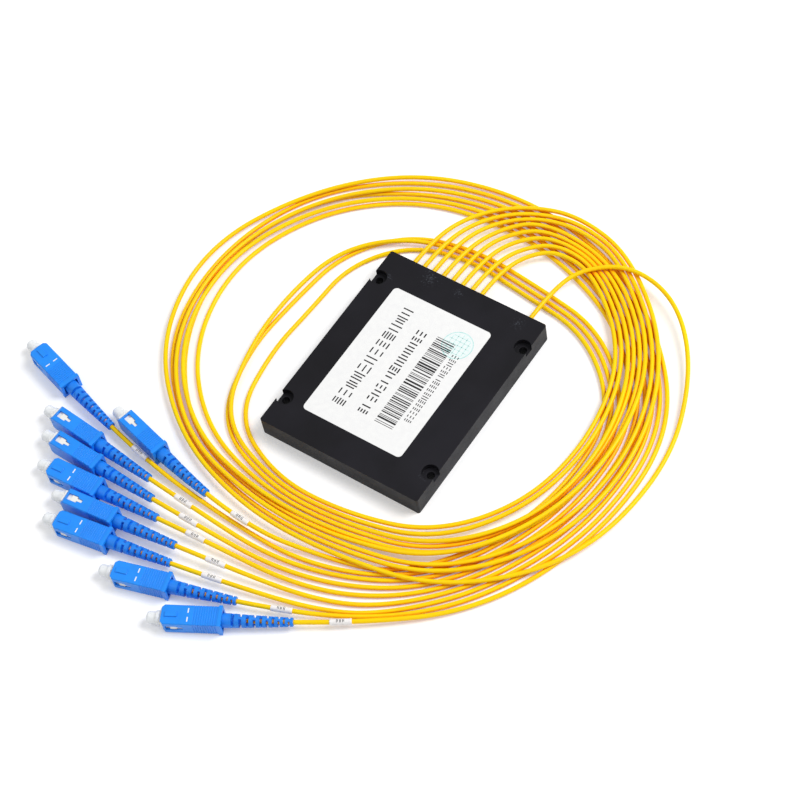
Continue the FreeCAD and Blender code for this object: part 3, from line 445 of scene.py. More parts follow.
# Turned brass with nickel plate: warm grey metal with fine tool marks.
PLATED_BRASS = Finish(
    "turned_plated_brass", "#b9a27a", "#cbb990", shade_mm=2.0, roughness=0.28, roughness_swing=0.06,
    grain_mm=0.15, grain_depth_mm=0.002, metallic=1.0)
# Stainless spring wire, drawn: a neutral bright metal.
SPRING_STEEL = Finish(
    "drawn_stainless_wire", "#b9babc", "#a9aaad", shade_mm=2.0, roughness=0.3, grain_mm=0.15,
    grain_depth_mm=0.002, metallic=1.0)
# Rolled steel tube round the splitter chip: dull with drawing marks.
TUBE_STEEL = Finish(
    "rolled_steel_tube", "#b4b5b8", "#9fa1a5", shade_mm=4.0, roughness=0.35, grain_mm=0.2,
    grain_depth_mm=0.003, metallic=1.0)
# Soft aluminium of the crimp sleeves: pale, pressed marks.
CRIMP_ALUMINIUM = Finish(
    "pressed_aluminium", "#d5d6d8", "#c4c6c9", shade_mm=2.0, roughness=0.32, grain_mm=0.3,
    grain_depth_mm=0.006, metallic=1.0)
# Fused silica of the splitter chip: clear with ground sides.
CHIP_SILICA = Finish(
    "ground_silica", "#e8eef0", "#dde6ea", shade_mm=3.0, roughness=0.1, grain_mm=0.1,
    grain_depth_mm=0.001, ior=1.46, extra=(("Transmission Weight", 0.7),))
# Tight-buffered fibre: natural white nylon, with relief at the 0.9 mm of one strand.
FIBRE_BUFFER = Finish(
    "buffered_fibre_nylon", "#f0ede2", "#e4e0d2", shade_mm=2.0, roughness=0.4, grain_mm=0.9,
    grain_depth_mm=0.05)
# Black silicone of the tube's end plugs.
PLUG_RUBBER = Finish(
    "moulded_black_silicone", "#1a1a1a", "#222222", shade_mm=2.0, roughness=0.6, grain_mm=0.3,
    grain_depth_mm=0.004)


class Palette:
    """The materials of the scene, made once each."""

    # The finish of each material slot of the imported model.
    SLOTS = {
        "case_plastic": CASE_ABS, "label_paper": LABEL_PAPER, "tube_steel": TUBE_STEEL,
        "silica": CHIP_SILICA, "plug_rubber": PLUG_RUBBER, "fibre_buffer": FIBRE_BUFFER,
        "sleeve_brass": PLATED_BRASS, "grip_blue": PLUG_PBT, "frame_white": FRAME_PBT,
        "boot_rubber": BOOT_TPE, "cap_clear": CAP_PE, "cable_jacket": JACKET_PVC,
        "ferrule_ceramic": ZIRCONIA, "spring_steel": SPRING_STEEL,
        "crimp_aluminium": CRIMP_ALUMINIUM, "sleeve_film": SLEEVE_FILM,
    }

    def __init__(self) -> None:
        """Start with no material made."""
        self.made: dict[str, bpy.types.Material] = {}

    def get(self, finish: Finish) -> bpy.types.Material:
        """The material of a finish, made when it is first asked for.

        Args:
            finish: The finish.

        Returns:
            Its material.
        """
        if finish.name not in self.made:
            self.made[finish.name] = finish.build()
        return self.made[finish.name]

    def dress_solids(self) -> None:
        """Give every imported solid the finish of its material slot."""
        slots = {row["node"]: row["material_slot"] for row in frame["record"]["subparts"]}
        for node, solid in frame["nodes"].items():
            solid.data.materials.clear()
            solid.data.materials.append(self.get(self.SLOTS[slots[node]]))
        LOG.info("packed model: %d nodes dressed", len(slots))


# ---------------------------------------------------------------- routes of the cables
# Millimetres in the row frame, as in the part's source. Lanes number the cables from the inside
# of the coil outwards.

class SideUp(Enum):
    """Which side of a plug faces up."""

    KEY = "key"
    WINDOW = "window"


@dataclass(frozen=True)
class PlugPlace:
    """Where one plug lies.

    Attributes:
        name: The pigtail that it ends.
        x: Place of the middle of the grip's rear face along X, mm.
        y: Place of the middle of the grip's rear face along Y, mm.
        heading: Direction of the mouth, degrees from +X.
        side_up: The side that faces up.
    """

    name: str
    x: float
    y: float
    heading: float
    side_up: SideUp

    # Width and height of the grip, and how far its rear end flares out each way, mm.
    GRIP_WIDTH = 9.0
    GRIP_HEIGHT = 7.4
    GRIP_FLARE = 0.25

    def matrix(self) -> Matrix:
        """Placement of the plug's own frame: +Y out of its mouth, +Z out of its key side.

        Returns:
            A matrix in millimetres.
        """
        key_up = self.side_up is SideUp.KEY
        height = (self.GRIP_HEIGHT if key_up else self.GRIP_WIDTH) / 2 + self.GRIP_FLARE
        turn = Matrix.Rotation(math.radians(self.heading - 90), 4, "Z")
        roll = Matrix.Rotation(0.0 if key_up else math.pi / 2, 4, "Y")
        return Matrix.Translation((self.x, self.y, height)) @ turn @ roll


# The plugs in the order of their cables' lanes, from the inside of the coil outwards.
PLUGS = [
    PlugPlace("output_8", -69.0, -82.5, 166.0, SideUp.WINDOW),
    PlugPlace("output_7", -124.5, -74.7, 164.0, SideUp.KEY),
    PlugPlace("output_6", -95.0, -92.5, 175.0, SideUp.WINDOW),
    PlugPlace("output_5", -88.0, -101.3, 178.0, SideUp.WINDOW),
    PlugPlace("output_4", -81.0, -110.3, 184.0, SideUp.KEY),
    PlugPlace("output_3", -66.0, -118.3, 186.0, SideUp.WINDOW),
    PlugPlace("output_2", -63.0, -127.3, 189.0, SideUp.KEY),
    PlugPlace("output_1", -28.0, -131.3, 196.0, SideUp.KEY),
    PlugPlace("input", 0.0, -132.8, 208.0, SideUp.KEY),
]


@dataclass(frozen=True)
class Station:
    """A place of the coil that all lanes pass.

    Attributes:
        angle: Degrees clockwise from +Y about the coil's centre.
        radius: Distance of lane 0 from the centre, mm.
        pitch: Distance between lanes, mm.
        height: Height of the cables' centres, mm.
    """

    angle: float
    radius: float
    pitch: float
    height: float


# Heights of the cables' centres where they lie on the floor, and on the cables below them, mm.
FLOOR_LAYER = 1.05
UPPER_LAYER = 3.3


def stations(rows: list[tuple[float, float, float]], height: float) -> list[Station]:
    """Stations of one layer from their angles, radii and pitches."""
    return [Station(angle, radius, pitch, height) for angle, radius, pitch in rows]


@dataclass
class Coil:
    """The shape of the whole bundle, from which each cable takes its route.

    Its leads, stations, tails and strays are chosen one by one.

    Attributes:
        centre: The coil's centre, mm.
        sleeve_front: Place of the exit sleeves' front along the case, mm.
        exit_height: Height of the exits, mm.
        boot_lead: How far behind the plug's rear face a cable is in line with its boot, mm.
        stem_rear: End of the cable in the plug's frame, mm.
        inner_lanes: Number of lanes that return round the inside of the coil.
        leads: Points of each cable from its exit to the coil, mm.
        first_half: Stations of the outputs' first half turn.
        input_first_half: Stations of the input's first half turn, outside the outputs.
        inner_return: Stations that follow for the inner lanes.
        outer_return: Stations that follow for the other lanes.
        last_half: Stations of the last stretch before the tails. The input has the first only.
        tails: Points of each cable from the coil to its plug, mm.
        strays: By cable and by station's angle, how far the cable strays outwards and up, mm.
    """

    centre: Vector = field(default_factory=lambda: Vector((-5.0, 8.0, 0.0)))
    sleeve_front: float = 47.0
    exit_height: float = 5.0
    boot_lead: float = 48.0
    stem_rear: float = -3.0
    inner_lanes: int = 3
    leads: dict[str, list[tuple[float, float, float]]] = field(default_factory=lambda: {
        "output_8": [(5, 63, 5), (10, 79, 4.5), (21, 89, 3.8)],
        "output_7": [(0, 63, 5), (5, 80, 4.5), (19, 92.5, 3.8)],
        "output_6": [(-5, 64, 5), (0, 82, 4.5), (15, 95, 3.8)],
        "output_5": [(-10, 64, 5), (-5, 83, 4.5), (11, 97.5, 3.8)],
        "output_4": [(-15, 64, 5), (-9, 84, 4.5), (7, 100.3, 3.8)],
        "output_3": [(-20, 65, 5), (-14, 84.5, 4.5), (2, 99.5, 3.8), (24, 104, 3.5)],
        "output_2": [(-25, 66, 5), (-18, 85.5, 4.5), (-2, 100.5, 3.8), (22, 107, 3.5)],
        "output_1": [(-30, 67, 5), (-22, 87, 4.5), (-5, 102.5, 3.8), (19, 110, 3.5)],
        "input": [(30, 65, 5), (35, 84, 5.7), (54, 97, 5.8), (81, 90, 5.4), (104, 62, 3.6)],
    })
    first_half: list[Station] = field(default_factory=lambda: stations([
        (31, 91.0, 2.6), (58, 92.0, 2.6), (85, 88.0, 3.2), (112, 88.0, 3.2), (139, 86.0, 3.0),
        (166, 77.0, 2.4)], UPPER_LAYER) + stations([(193, 76.0, 2.4)], FLOOR_LAYER))
    input_first_half: list[Station] = field(default_factory=lambda: stations([
        (85, 123.0, 0)], FLOOR_LAYER) + stations([
            (112, 122.5, 0), (139, 112.0, 0), (166, 96.6, 0), (193, 95.8, 0)], UPPER_LAYER))
    inner_return: list[Station] = field(default_factory=lambda: stations([
        (220, 76.0, 4.0), (247, 60.0, 5.0), (274, 53.0, 5.5), (301, 59.0, 4.0), (328, 63.0, 3.0),
        (355, 57.0, 3.5), (382, 60.0, 3.5), (409, 78.0, 3.5), (436, 92.0, 3.2)], FLOOR_LAYER))
    outer_return: list[Station] = field(default_factory=lambda: stations([
        (220, 83.6, 2.4), (247, 89.8, 2.4), (274, 91.3, 2.4), (301, 88.3, 2.4), (328, 81.2, 2.6),
        (355, 73.3, 3.4), (382, 73.8, 3.4), (409, 82.4, 3.2), (436, 93.0, 3.2)], FLOOR_LAYER))
    last_half: list[Station] = field(default_factory=lambda: stations([
        (463, 93.0, 3.2), (488, 97.0, 3.0), (508, 101.0, 3.0)], FLOOR_LAYER))
    tails: dict[str, list[tuple[float, float]]] = field(default_factory=lambda: {
        "output_8": [(25, -86)],
        "output_7": [(12, -94), (-28, -93)],
        "output_6": [(5, -99)],
        "output_5": [(11, -101.5)],
        "output_4": [(18, -104)],
        "output_3": [(29, -105)],
        "output_2": [(33, -108)],
        "output_1": [],
        "input": [(88, -74)],
    })
    strays: dict[str, dict[int, tuple[float, float]]] = field(default_factory=lambda: {
        "output_8": {85: (0.5, 0), 139: (-0.6, 0), 301: (1.0, 0), 355: (3.0, 0)},
        "output_7": {112: (-0.8, 0), 220: (2.0, 2.1), 247: (4.5, 2.1), 274: (6.5, 2.1),
                     301: (5.5, 2.1), 328: (0.2, 2.1), 355: (2.2, 0)},
        "output_6": {85: (2.2, 2.1), 112: (3.6, 2.1), 139: (1.5, 2.1), 274: (-2.0, 0),
                     355: (1.5, 0)},
        "output_5": {220: (-0.8, 0), 247: (-1.6, 0), 274: (-1.0, 0), 301: (-2.0, 0),
                     328: (-0.6, 0)},
        "output_4": {193: (1.2, 2.1), 220: (2.6, 2.1), 247: (2.4, 2.1), 274: (0.5, 2.1),
                     301: (-2.6, 2.1), 328: (-2.0, 2.1)},
        "output_3": {85: (-2.0, 2.1), 112: (-3.4, 2.1), 139: (-1.6, 2.1), 220: (0.6, 0),
                     247: (-0.8, 0), 274: (1.0, 0), 301: (1.6, 0), 328: (-0.8, 0)},
        "output_2": {193: (0.4, 2.1), 220: (1.5, 2.1), 247: (0.5, 2.1), 274: (-1.6, 2.1),
                     301: (-3.2, 2.1), 328: (-1.5, 2.1)},
        "output_1": {112: (0.8, 0), 220: (-0.6, 0), 247: (0.9, 0), 274: (-0.9, 0),
                     301: (0.4, 0), 328: (0.6, 0)},
        "input": {220: (-1.0, 2.1), 247: (1.5, 2.1), 274: (3.5, 0.6), 301: (-2.5, 2.3),
                  328: (0.2, 2.1)},
    })

    def ring_point(self, station: Station, lane: int, stray: tuple[float, float]) -> Vector:
        """The point where a cable passes a station.

        Args:
            station: The place of the coil.
            lane: The cable's lane.
            stray: How far the cable strays outwards from its lane, and how far it rides up on
                its neighbours there, mm.

        Returns:
            The point, mm.
        """
        outwards, up = stray
        turn = math.radians(station.angle)
        radius = station.radius + station.pitch * lane + outwards
        return self.centre + Vector((
            radius * math.sin(turn), radius * math.cos(turn), station.height + up))

    def route(self, plug: PlugPlace, lane: int, exit_x: float) -> list[Vector]:
        """The points of one cable, from its exit sleeve to the stem in its plug.

        Args:
            plug: The plug that ends the cable.
            lane: The cable's lane in the coil.
            exit_x: Place of the cable's exit along the case, mm.

        Returns:
            Control points in metres, in the row frame.
        """
        points = [Vector((exit_x, self.sleeve_front, self.exit_height))]
        points += [Vector(place) for place in self.leads[plug.name]]
        is_input = plug.name == "input"
        first = self.input_first_half if is_input else self.first_half
        back = self.inner_return if lane < self.inner_lanes else self.outer_return
        last = self.last_half[:1] if is_input else self.last_half
        strays = self.strays.get(plug.name, {})
        points += [self.ring_point(station, lane, strays.get(station.angle, (0.0, 0.0)))
                   for station in first + back + last]
        points += [Vector((x, y, FLOOR_LAYER)) for x, y in self.tails[plug.name]]
        frame_of_plug = plug.matrix()
        points += [frame_of_plug @ Vector((0, -self.boot_lead, 0)),
                   frame_of_plug @ Vector((0, self.stem_rear, 0))]
        return [point * MM for point in points]


# ---------------------------------------------------------------- pigtails

@dataclass
class Pigtail:
    """One cable with the boot, number sleeve and printed marks that go with it.

    Attributes:
        plug: Where its plug lies.
        lane: Its lane in the coil.
        exit_x: Place of its exit, mm.
        coil: The bundle that it lies in.
        palette: The scene's materials.
        cable_diameter: Diameter of the jacket, mm.
        boot_front: The boot's front face in the plug's frame, mm.
        boot_length: Length of the boot, mm.
        boot_collar: Length of its straight collar, mm.
        boot_front_radius: Radius of the collar, mm.
        boot_rear_radius: Radius at its thin end, mm.
        boot_bridge: Thickness of the bridges between its slots, mm.
        slot_rings: Number of slotted rings.
        slot_first: Distance of the first slot behind the grip, mm.
        slot_pitch: Distance from the first ring of slots to the second, mm.
        slot_closing: How much each distance is shorter than the one before, mm.
        slot_width: Width of the first slot, mm.
        slot_narrowing: How much narrower each slot is than the one before, as a share of the first.
        slot_edge: Length over which a slot's wall falls, mm.
        slot_bite: How far the slots behind the crimp sleeve reach into the jacket, mm.
        boot_chamfer: Chamfer round the boot's thin end, mm.
        boot_corners: Number of faces round the boot.
        crimp_end: End of the crimp sleeve behind the grip, mm.
        crimp_cover_radius: Radius of the rubber that stays over the crimp sleeve, mm.
        sleeve_radius: Outer radius of the number sleeve, mm.
        sleeve_length: Length of the number sleeve, mm.
        sleeve_gap: Gap between the jacket and the number sleeve, mm.
        sleeve_round: How much the number sleeve's ends are drawn in, mm.
        sleeve_step: Length of each face along the number sleeve, mm.
        sleeve_corners: Number of faces round the number sleeve.
        dash_offset: Distance of each white dash from the middle of the grip, mm.
        dash_place: Distance of the dashes in front of the grip's rear face, mm.
        dash_size: Length, width and thickness of a dash, mm.
        path: The cable's centreline, m, from its exit to its plug.
        path_length: The length of that line, m.
    """

    plug: PlugPlace
    lane: int
    exit_x: float
    coil: Coil
    palette: Palette
    cable_diameter: float = 2.0
    boot_front: float = 2.2
    boot_length: float = 31.0
    boot_collar: float = 5.0
    boot_front_radius: float = 3.0
    boot_rear_radius: float = 1.85
    boot_bridge: float = 1.3
    slot_rings: int = 10
    slot_first: float = 4.3
    slot_pitch: float = 3.1
    slot_closing: float = 0.14
    slot_width: float = 1.2
    slot_narrowing: float = 0.03
    slot_edge: float = 0.04
    slot_bite: float = 0.1
    boot_chamfer: float = 0.15
    boot_corners: int = 48
    crimp_end: float = 8.2
    crimp_cover_radius: float = 1.5
    sleeve_radius: float = 1.35
    sleeve_length: float = 9.0
    sleeve_gap: float = 0.02
    sleeve_round: float = 0.12
    sleeve_step: float = 0.25
    sleeve_corners: int = 32
    dash_offset: float = 2.0
    dash_place: float = 13.9
    dash_size: tuple[float, float, float] = (2.1, 0.5, 0.03)
    path: list[Vector] = field(init=False, default_factory=list)
    path_length: float = field(init=False, default=0.0)

    # Fineness of the jacket: steps between two points of its route, and of a quarter of its round.
    JACKET_STEPS = 14
    JACKET_ROUND_STEPS = 5
    # Stands for "no slot here" in the rows of the boot.
    NO_SLOT = -1
    # Print of the number sleeve, counted in its faces: groups of short bars.
    MARK_GROUPS, GROUP_PITCH = 3, 5
    GROUP_BARS, BAR_PITCH = 2, 2
    MARKS_LEAD = 6
    BAR_LOW_ENDS, BAR_HIGH_ENDS = (-3, -2), (2, 3)

    def build(self) -> None:
        cable = self.build_cable()
        pieces = [self.build_boot(), self.build_sleeve(), self.build_plug_marks()]

    def build_cable(self) -> bpy.types.Object:
        """The jacket, as a smooth curve along the route.

        Returns:
            The cable's object.
        """
        name = self.plug.name
        curve = bpy.data.curves.new(name + "_jacket", "CURVE")
        curve.dimensions = "3D"
        route = self.coil.route(self.plug, self.lane, self.exit_x)
        spline = curve.splines.new("NURBS")
        spline.points.add(len(route) - 1)
        for point, place in zip(spline.points, route):
            point.co = (*place, 1.0)
        spline.order_u = 3
        spline.use_endpoint_u = True
        spline.resolution_u = self.JACKET_STEPS
        curve.resolution_u = self.JACKET_STEPS
        cable = bpy.data.objects.new(name + "_jacket", curve)
        bpy.context.scene.collection.objects.link(cable)
        self.path = self.read_path(cable)
        self.path_length = sum((b - a).length for a, b in zip(self.path, self.path[1:]))
        curve.bevel_depth = self.cable_diameter / 2 * MM
        curve.bevel_resolution = self.JACKET_ROUND_STEPS
        curve.use_fill_caps = True
        curve.materials.append(self.palette.get(JACKET_PVC))
        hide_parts(name + "_cable")
        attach(cable, "splitter")
        return cable

    @staticmethod
    def read_path(cable: bpy.types.Object) -> list[Vector]:
        """Points along a cable's centreline, from its curve before that has a thickness.

        Args:
            cable: The curve's object.

        Returns:
            The points in metres, in order.
        """
        line = bpy.data.meshes.new_from_object(cable)
        points = [vertex.co.copy() for vertex in line.vertices]
        bpy.data.meshes.remove(line)
        return points

    def spine(self, distance: float) -> tuple[Vector, Vector]:
        """A point of the boot's centreline and its direction towards the plug.

        Args:
            distance: Millimetres behind the plug's rear face, or less than 0 in front of it.

        Returns:
            The point in metres and the direction.
        """
        frame_of_plug = self.plug.matrix()
        behind_stem = (distance + self.coil.stem_rear) * MM
        if behind_stem <= 0:
            place = frame_of_plug @ Vector((0, -distance, 0)) * MM
            return place, (frame_of_plug.to_3x3() @ Vector((0, 1, 0))).normalized()
        travelled = 0.0
        for ahead, back in zip(reversed(self.path), list(reversed(self.path))[1:]):
            step = (ahead - back).length
            if travelled + step >= behind_stem:
                along = (ahead - back).normalized()
                return ahead - along * (behind_stem - travelled), along
            travelled += step
        raise ValueError("the boot is longer than its cable")

    def slot_places(self) -> list[tuple[float, float]]:
        """Where the rings of slots are.

        Returns:
            Place behind the plug's rear face and width of each ring, mm.
        """
        rings = []
        place = self.slot_first
        for number in range(self.slot_rings):
            rings.append((place, self.slot_width * (1 - self.slot_narrowing * number)))
            place += self.slot_pitch - self.slot_closing * number
        return rings

    def boot_radius(self, distance: float) -> float:
        """Outer radius of the boot.

        Args:
            distance: Millimetres behind the plug's rear face.

        Returns:
            The radius, mm.
        """
        collar_end = self.boot_collar - self.boot_front
        rear = self.boot_length - self.boot_front
        share = min(max((distance - collar_end) / (rear - collar_end), 0.0), 1.0)
        return self.boot_front_radius + (self.boot_rear_radius - self.boot_front_radius) * share

    def slot_floor(self, distance: float) -> float:
        """Radius that the slots are cut to: over the crimp sleeve, then into the jacket, mm."""
        into_jacket = self.cable_diameter / 2 - self.slot_bite
        return self.crimp_cover_radius if distance < self.crimp_end else into_jacket

    def build_boot(self) -> bpy.types.Object:
        """The boot, bent along the cable, with slots that open to the jacket.

        Each ring has two slots, on opposite sides, and each ring is turned a quarter from the
        one before.

        Returns:
            The boot's object.
        """
        rear = self.boot_length - self.boot_front
        edge, none = self.slot_edge, self.NO_SLOT
        rows: list[tuple[float, int]] = [(-self.boot_front, none)]
        for number, (place, width) in enumerate(self.slot_places()):
            rows += [(place - width / 2 - edge, none), (place - width / 2, number),
                     (place + width / 2, number), (place + width / 2 + edge, none)]
        rows += [(rear - self.boot_chamfer, none), (rear, none)]
        corners = self.boot_corners
        frame_of_plug = self.plug.matrix().to_3x3()
        mesh = bmesh.new()
        rings = []
        for distance, slot in rows:
            centre, along = self.spine(distance)
            up = frame_of_plug @ Vector((0, 0, 1))
            across = along.cross(up).normalized()
            up = across.cross(along).normalized()
            outer = self.boot_radius(distance) - (self.boot_chamfer if distance == rear else 0.0)
            ring = []
            for corner in range(corners):
                angle = 2 * math.pi * (corner + 0.5) / corners
                side, top = math.cos(angle), math.sin(angle)
                radius = outer
                if slot != none:
                    reach = abs(top if slot % 2 == 0 else side)
                    if outer * reach > self.boot_bridge / 2:
                        radius = self.slot_floor(distance)
                ring.append(mesh.verts.new(centre + (across * side + up * top) * radius * MM))
            rings.append(ring)
        for before, after in zip(rings, rings[1:]):
            for corner in range(corners):
                follow = (corner + 1) % corners
                mesh.faces.new((before[corner], before[follow], after[follow], after[corner]))
        for ring in (rings[0], rings[-1]):
            mesh.faces.new(ring)
        boot = mesh_object(self.plug.name + "_bent_boot", mesh, self.palette.get(BOOT_TPE))
        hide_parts(self.plug.name + "_boot")
        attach(boot, "splitter")
        return boot

    def build_sleeve(self) -> bpy.types.Object:
        """The white number sleeve, shrunk round the cable behind the boot, with dark marks.

        Returns:
            The sleeve's object.
        """
        step, corners = self.sleeve_step, self.sleeve_corners
        start = self.coil.boot_lead - self.sleeve_length / 2
        inner = self.cable_diameter / 2 + self.sleeve_gap
        end_radius = self.sleeve_radius - self.sleeve_round
        count = round(self.sleeve_length / step)
        outside = [(start + step * n, self.sleeve_radius) for n in range(1, count)]
        rows = [(start, end_radius), *outside, (start + self.sleeve_length, end_radius)]
        rows += [(distance, inner) for distance, _ in reversed(rows)]
        marked = self.sleeve_marks(len(outside), corners)
        mesh = bmesh.new()
        rings = []
        for distance, radius in rows:
            centre, along = self.spine(distance)
            across = along.cross(Vector((0, 0, 1))).normalized()
            up = across.cross(along).normalized()
            angles = [2 * math.pi * corner / corners for corner in range(corners)]
            rings.append([mesh.verts.new(
                centre + (across * math.sin(angle) + up * math.cos(angle)) * radius * MM)
                for angle in angles])
        for number, (before, after) in enumerate(zip(rings, rings[1:] + rings[:1])):
            for corner in range(corners):
                follow = (corner + 1) % corners
                face = mesh.faces.new((before[corner], before[follow], after[follow], after[corner]))
                face.material_index = int((number, corner) in marked)
        sleeve = mesh_object(
            self.plug.name + "_number_sleeve", mesh, self.palette.get(SLEEVE_FILM),
            smooth_angle=50.0)
        sleeve.data.materials.append(self.palette.get(PRINT_BLACK))
        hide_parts("number_sleeves")
        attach(sleeve, "splitter")
        return sleeve

    def sleeve_marks(self, rows: int, corners: int) -> set[tuple[int, int]]:
        """Faces of the number sleeve that carry print: a few small groups of short bars.

        Args:
            rows: Number of rows of faces along the sleeve's outside.
            corners: Number of faces round it.

        Returns:
            Row and corner of each printed face.
        """
        dice = random.Random(self.lane)
        marked = set()
        for turn in (0, corners // 2):
            for group in range(self.MARK_GROUPS):
                first = rows // 2 - self.MARKS_LEAD + self.GROUP_PITCH * group
                for bar in range(self.GROUP_BARS):
                    low = dice.choice(self.BAR_LOW_ENDS)
                    high = dice.choice(self.BAR_HIGH_ENDS)
                    marked |= {(first + self.BAR_PITCH * bar, (turn + corner) % corners)
                               for corner in range(low, high)}
        return marked

    def build_plug_marks(self) -> bpy.types.Object:
        """The two white dashes across the key side of the plug's grip.

        Returns:
            The dashes' object.
        """
        place = self.plug.matrix()
        mesh = bmesh.new()
        for side in (-1, 1):
            centre = (self.dash_offset * side, self.dash_place, self.plug.GRIP_HEIGHT / 2)
            add_block(mesh, place, centre, self.dash_size)
        marks = mesh_object(self.plug.name + "_plug_marks", mesh, self.palette.get(MARK_WHITE))
        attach(marks, self.plug.name + "_grip_slider")
        return marks


# ---------------------------------------------------------------- print on the case

@dataclass(frozen=True)
class PrintRow:
    """A row of small marks along the label.

    Attributes:
        x: Place of the row's middle across the case, mm.
        start: Place of its first mark along the case, mm.
        end: Place of its end along the case, mm.
        marks: Number of marks.
        height: Height of a mark, mm.
        stroke: Thickness of its strokes, mm.
    """

    x: float
    start: float
    end: float
    marks: int
    height: float
    stroke: float


@dataclass
class LabelPrint:
    """What is printed on the label: rows of plain marks, a field of bars and a pale round seal.

    Attributes:
        palette: The scene's materials.
        rows: The rows of marks.
        bars_centre: Place of the bars' middle across the case, mm.
        bars_width: Length of a bar, mm.
        bars_start: Place of the first bar along the case, mm.
        bars_end: Place where the bars end along the case, mm.
        seal_centre: Place of the seal's middle, mm.
        seal_radius: Outer radius of the seal's ring, mm.
        seal_line: Width of the ring's line, mm.
        seal_segments: Number of straight pieces in the ring.
        wash_inset: Distance of the wash's edge inside the ring's outer edge, mm.
        grid_pitch: Distance between the lines of the seal's grid, mm.
        grid_inset: Distance of the grid's ends inside the ring's outer edge, mm.
        grid_line: Width of the grid's lines, mm.
        film: Thickness of the black print, mm.
        top: Height of the label's face, mm.
    """

    palette: Palette
    rows: tuple[PrintRow, ...] = (
        PrintRow(-15.7, -28.0, 28.5, 12, 5.8, 0.62),
        PrintRow(-4.1, -26.5, 21.5, 14, 4.6, 0.66),
        PrintRow(15.1, -20.5, 18.0, 18, 3.2, 0.42),
    )
    bars_centre: float = 7.25
    bars_width: float = 9.1
    bars_start: float = -26.3
    bars_end: float = 23.5
    seal_centre: tuple[float, float] = (12.6, 22.4)
    seal_radius: float = 7.0
    seal_line: float = 0.42
    seal_segments: int = 64
    wash_inset: float = 0.2
    grid_pitch: float = 2.1
    grid_inset: float = 1.2
    grid_line: float = 0.3
    film: float = 0.02
    top: float = field(init=False, default=0.0)

    # How many times thinner than the black print the ring, the grid and the wash are. So each
    # has its own height, and no two faces coincide.
    RING_THINNING, GRID_THINNING, WASH_THINNING = 2, 3, 4
    # Lines of the grid each way, counted from its middle.
    GRID_LINES = range(-2, 3)
    # Marks: their width as a share of the pitch, and the share of them whose strokes run across
    # the row.
    MARK_WIDTHS = (0.62, 0.82)
    UPRIGHT_SHARE = 0.45
    # Strokes of a mark: how many, the least room for one in thicknesses, and their length as a
    # share of the mark's.
    STROKE_COUNTS = (3, 4, 5)
    STROKE_ROOM = 1.7
    STROKE_REACHES = (0.7, 1.0)
    # Bars: thicknesses and gaps to draw from, and the room kept for the last one, mm.
    BAR_SEED = 4
    BAR_THICKNESSES = (0.3, 0.3, 0.6, 0.9)
    BAR_GAPS = (0.35, 0.35, 0.65, 0.95)
    LAST_BAR_ROOM = 1.5

    def build(self) -> None:
        """Print the label."""
        self.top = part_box("label")[1].z / MM
        self.add_piece("label_seal_wash", self.draw_wash(), STAMP_WASH)
        self.add_piece("label_seal", self.draw_seal(), STAMP_INK)
        mesh = bmesh.new()
        for row in self.rows:
            self.draw_row(mesh, row)
        self.draw_bars(mesh)
        self.add_piece("label_print", mesh, PRINT_BLACK)

    def add_piece(self, name: str, mesh: bmesh.types.BMesh, finish: Finish) -> None:
        """Turn a printed mesh into a piece that rides with the case.

        Args:
            name: The piece's name.
            mesh: The printed shapes. It is freed.
            finish: The ink.
        """
        piece = mesh_object(name, mesh, self.palette.get(finish))
        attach(piece, "splitter")
        LOG.info("%s: printed", name)

    def block(self, mesh: bmesh.types.BMesh, x: float, y: float, width: float, depth: float) -> None:
        """One printed rectangle about (x, y), mm."""
        add_block(mesh, Matrix.Identity(4), (x, y, self.top), (width, depth, self.film))

    def draw_row(self, mesh: bmesh.types.BMesh, row: PrintRow) -> None:
        """Draw marks made of a few parallel strokes of unequal length.

        Args:
            mesh: The print's mesh.
            row: The row to fill.
        """
        dice = random.Random(row.marks)
        pitch = (row.end - row.start) / row.marks
        for number in range(row.marks):
            middle = row.start + pitch * (number + 0.5)
            width = pitch * dice.uniform(*self.MARK_WIDTHS)
            upright = dice.random() < self.UPRIGHT_SHARE
            spread, length = (width, row.height) if upright else (row.height, width)
            room = self.STROKE_ROOM * row.stroke
            strokes = min(dice.choice(self.STROKE_COUNTS), int(spread / room))
            for stroke in range(strokes):
                offset = (stroke / max(strokes - 1, 1) - 0.5) * (spread - row.stroke)
                reach = length * dice.uniform(*self.STROKE_REACHES)
                if upright:
                    self.block(mesh, row.x, middle + offset, reach, row.stroke)
                else:
                    self.block(mesh, row.x + offset, middle, row.stroke, reach)

    def draw_bars(self, mesh: bmesh.types.BMesh) -> None:
        """Draw a field of bars of three thicknesses with unequal gaps.

        Args:
            mesh: The print's mesh.
        """
        dice = random.Random(self.BAR_SEED)
        place = self.bars_start
        while place < self.bars_end - self.LAST_BAR_ROOM:
            thickness = dice.choice(self.BAR_THICKNESSES)
            self.block(mesh, self.bars_centre, place + thickness / 2, self.bars_width, thickness)
            place += thickness + dice.choice(self.BAR_GAPS)

    def draw_wash(self) -> bmesh.types.BMesh:
        """Draw the tinted disc that the ring encloses.

        Returns:
            The disc's mesh.
        """
        mesh = bmesh.new()
        across, along = self.seal_centre
        radius = (self.seal_radius - self.wash_inset) * MM
        bmesh.ops.create_cone(
            mesh, cap_ends=True, segments=self.seal_segments, radius1=radius, radius2=radius,
            depth=self.film / self.WASH_THINNING * MM,
            matrix=Matrix.Translation(Vector((across, along, self.top)) * MM))
        return mesh

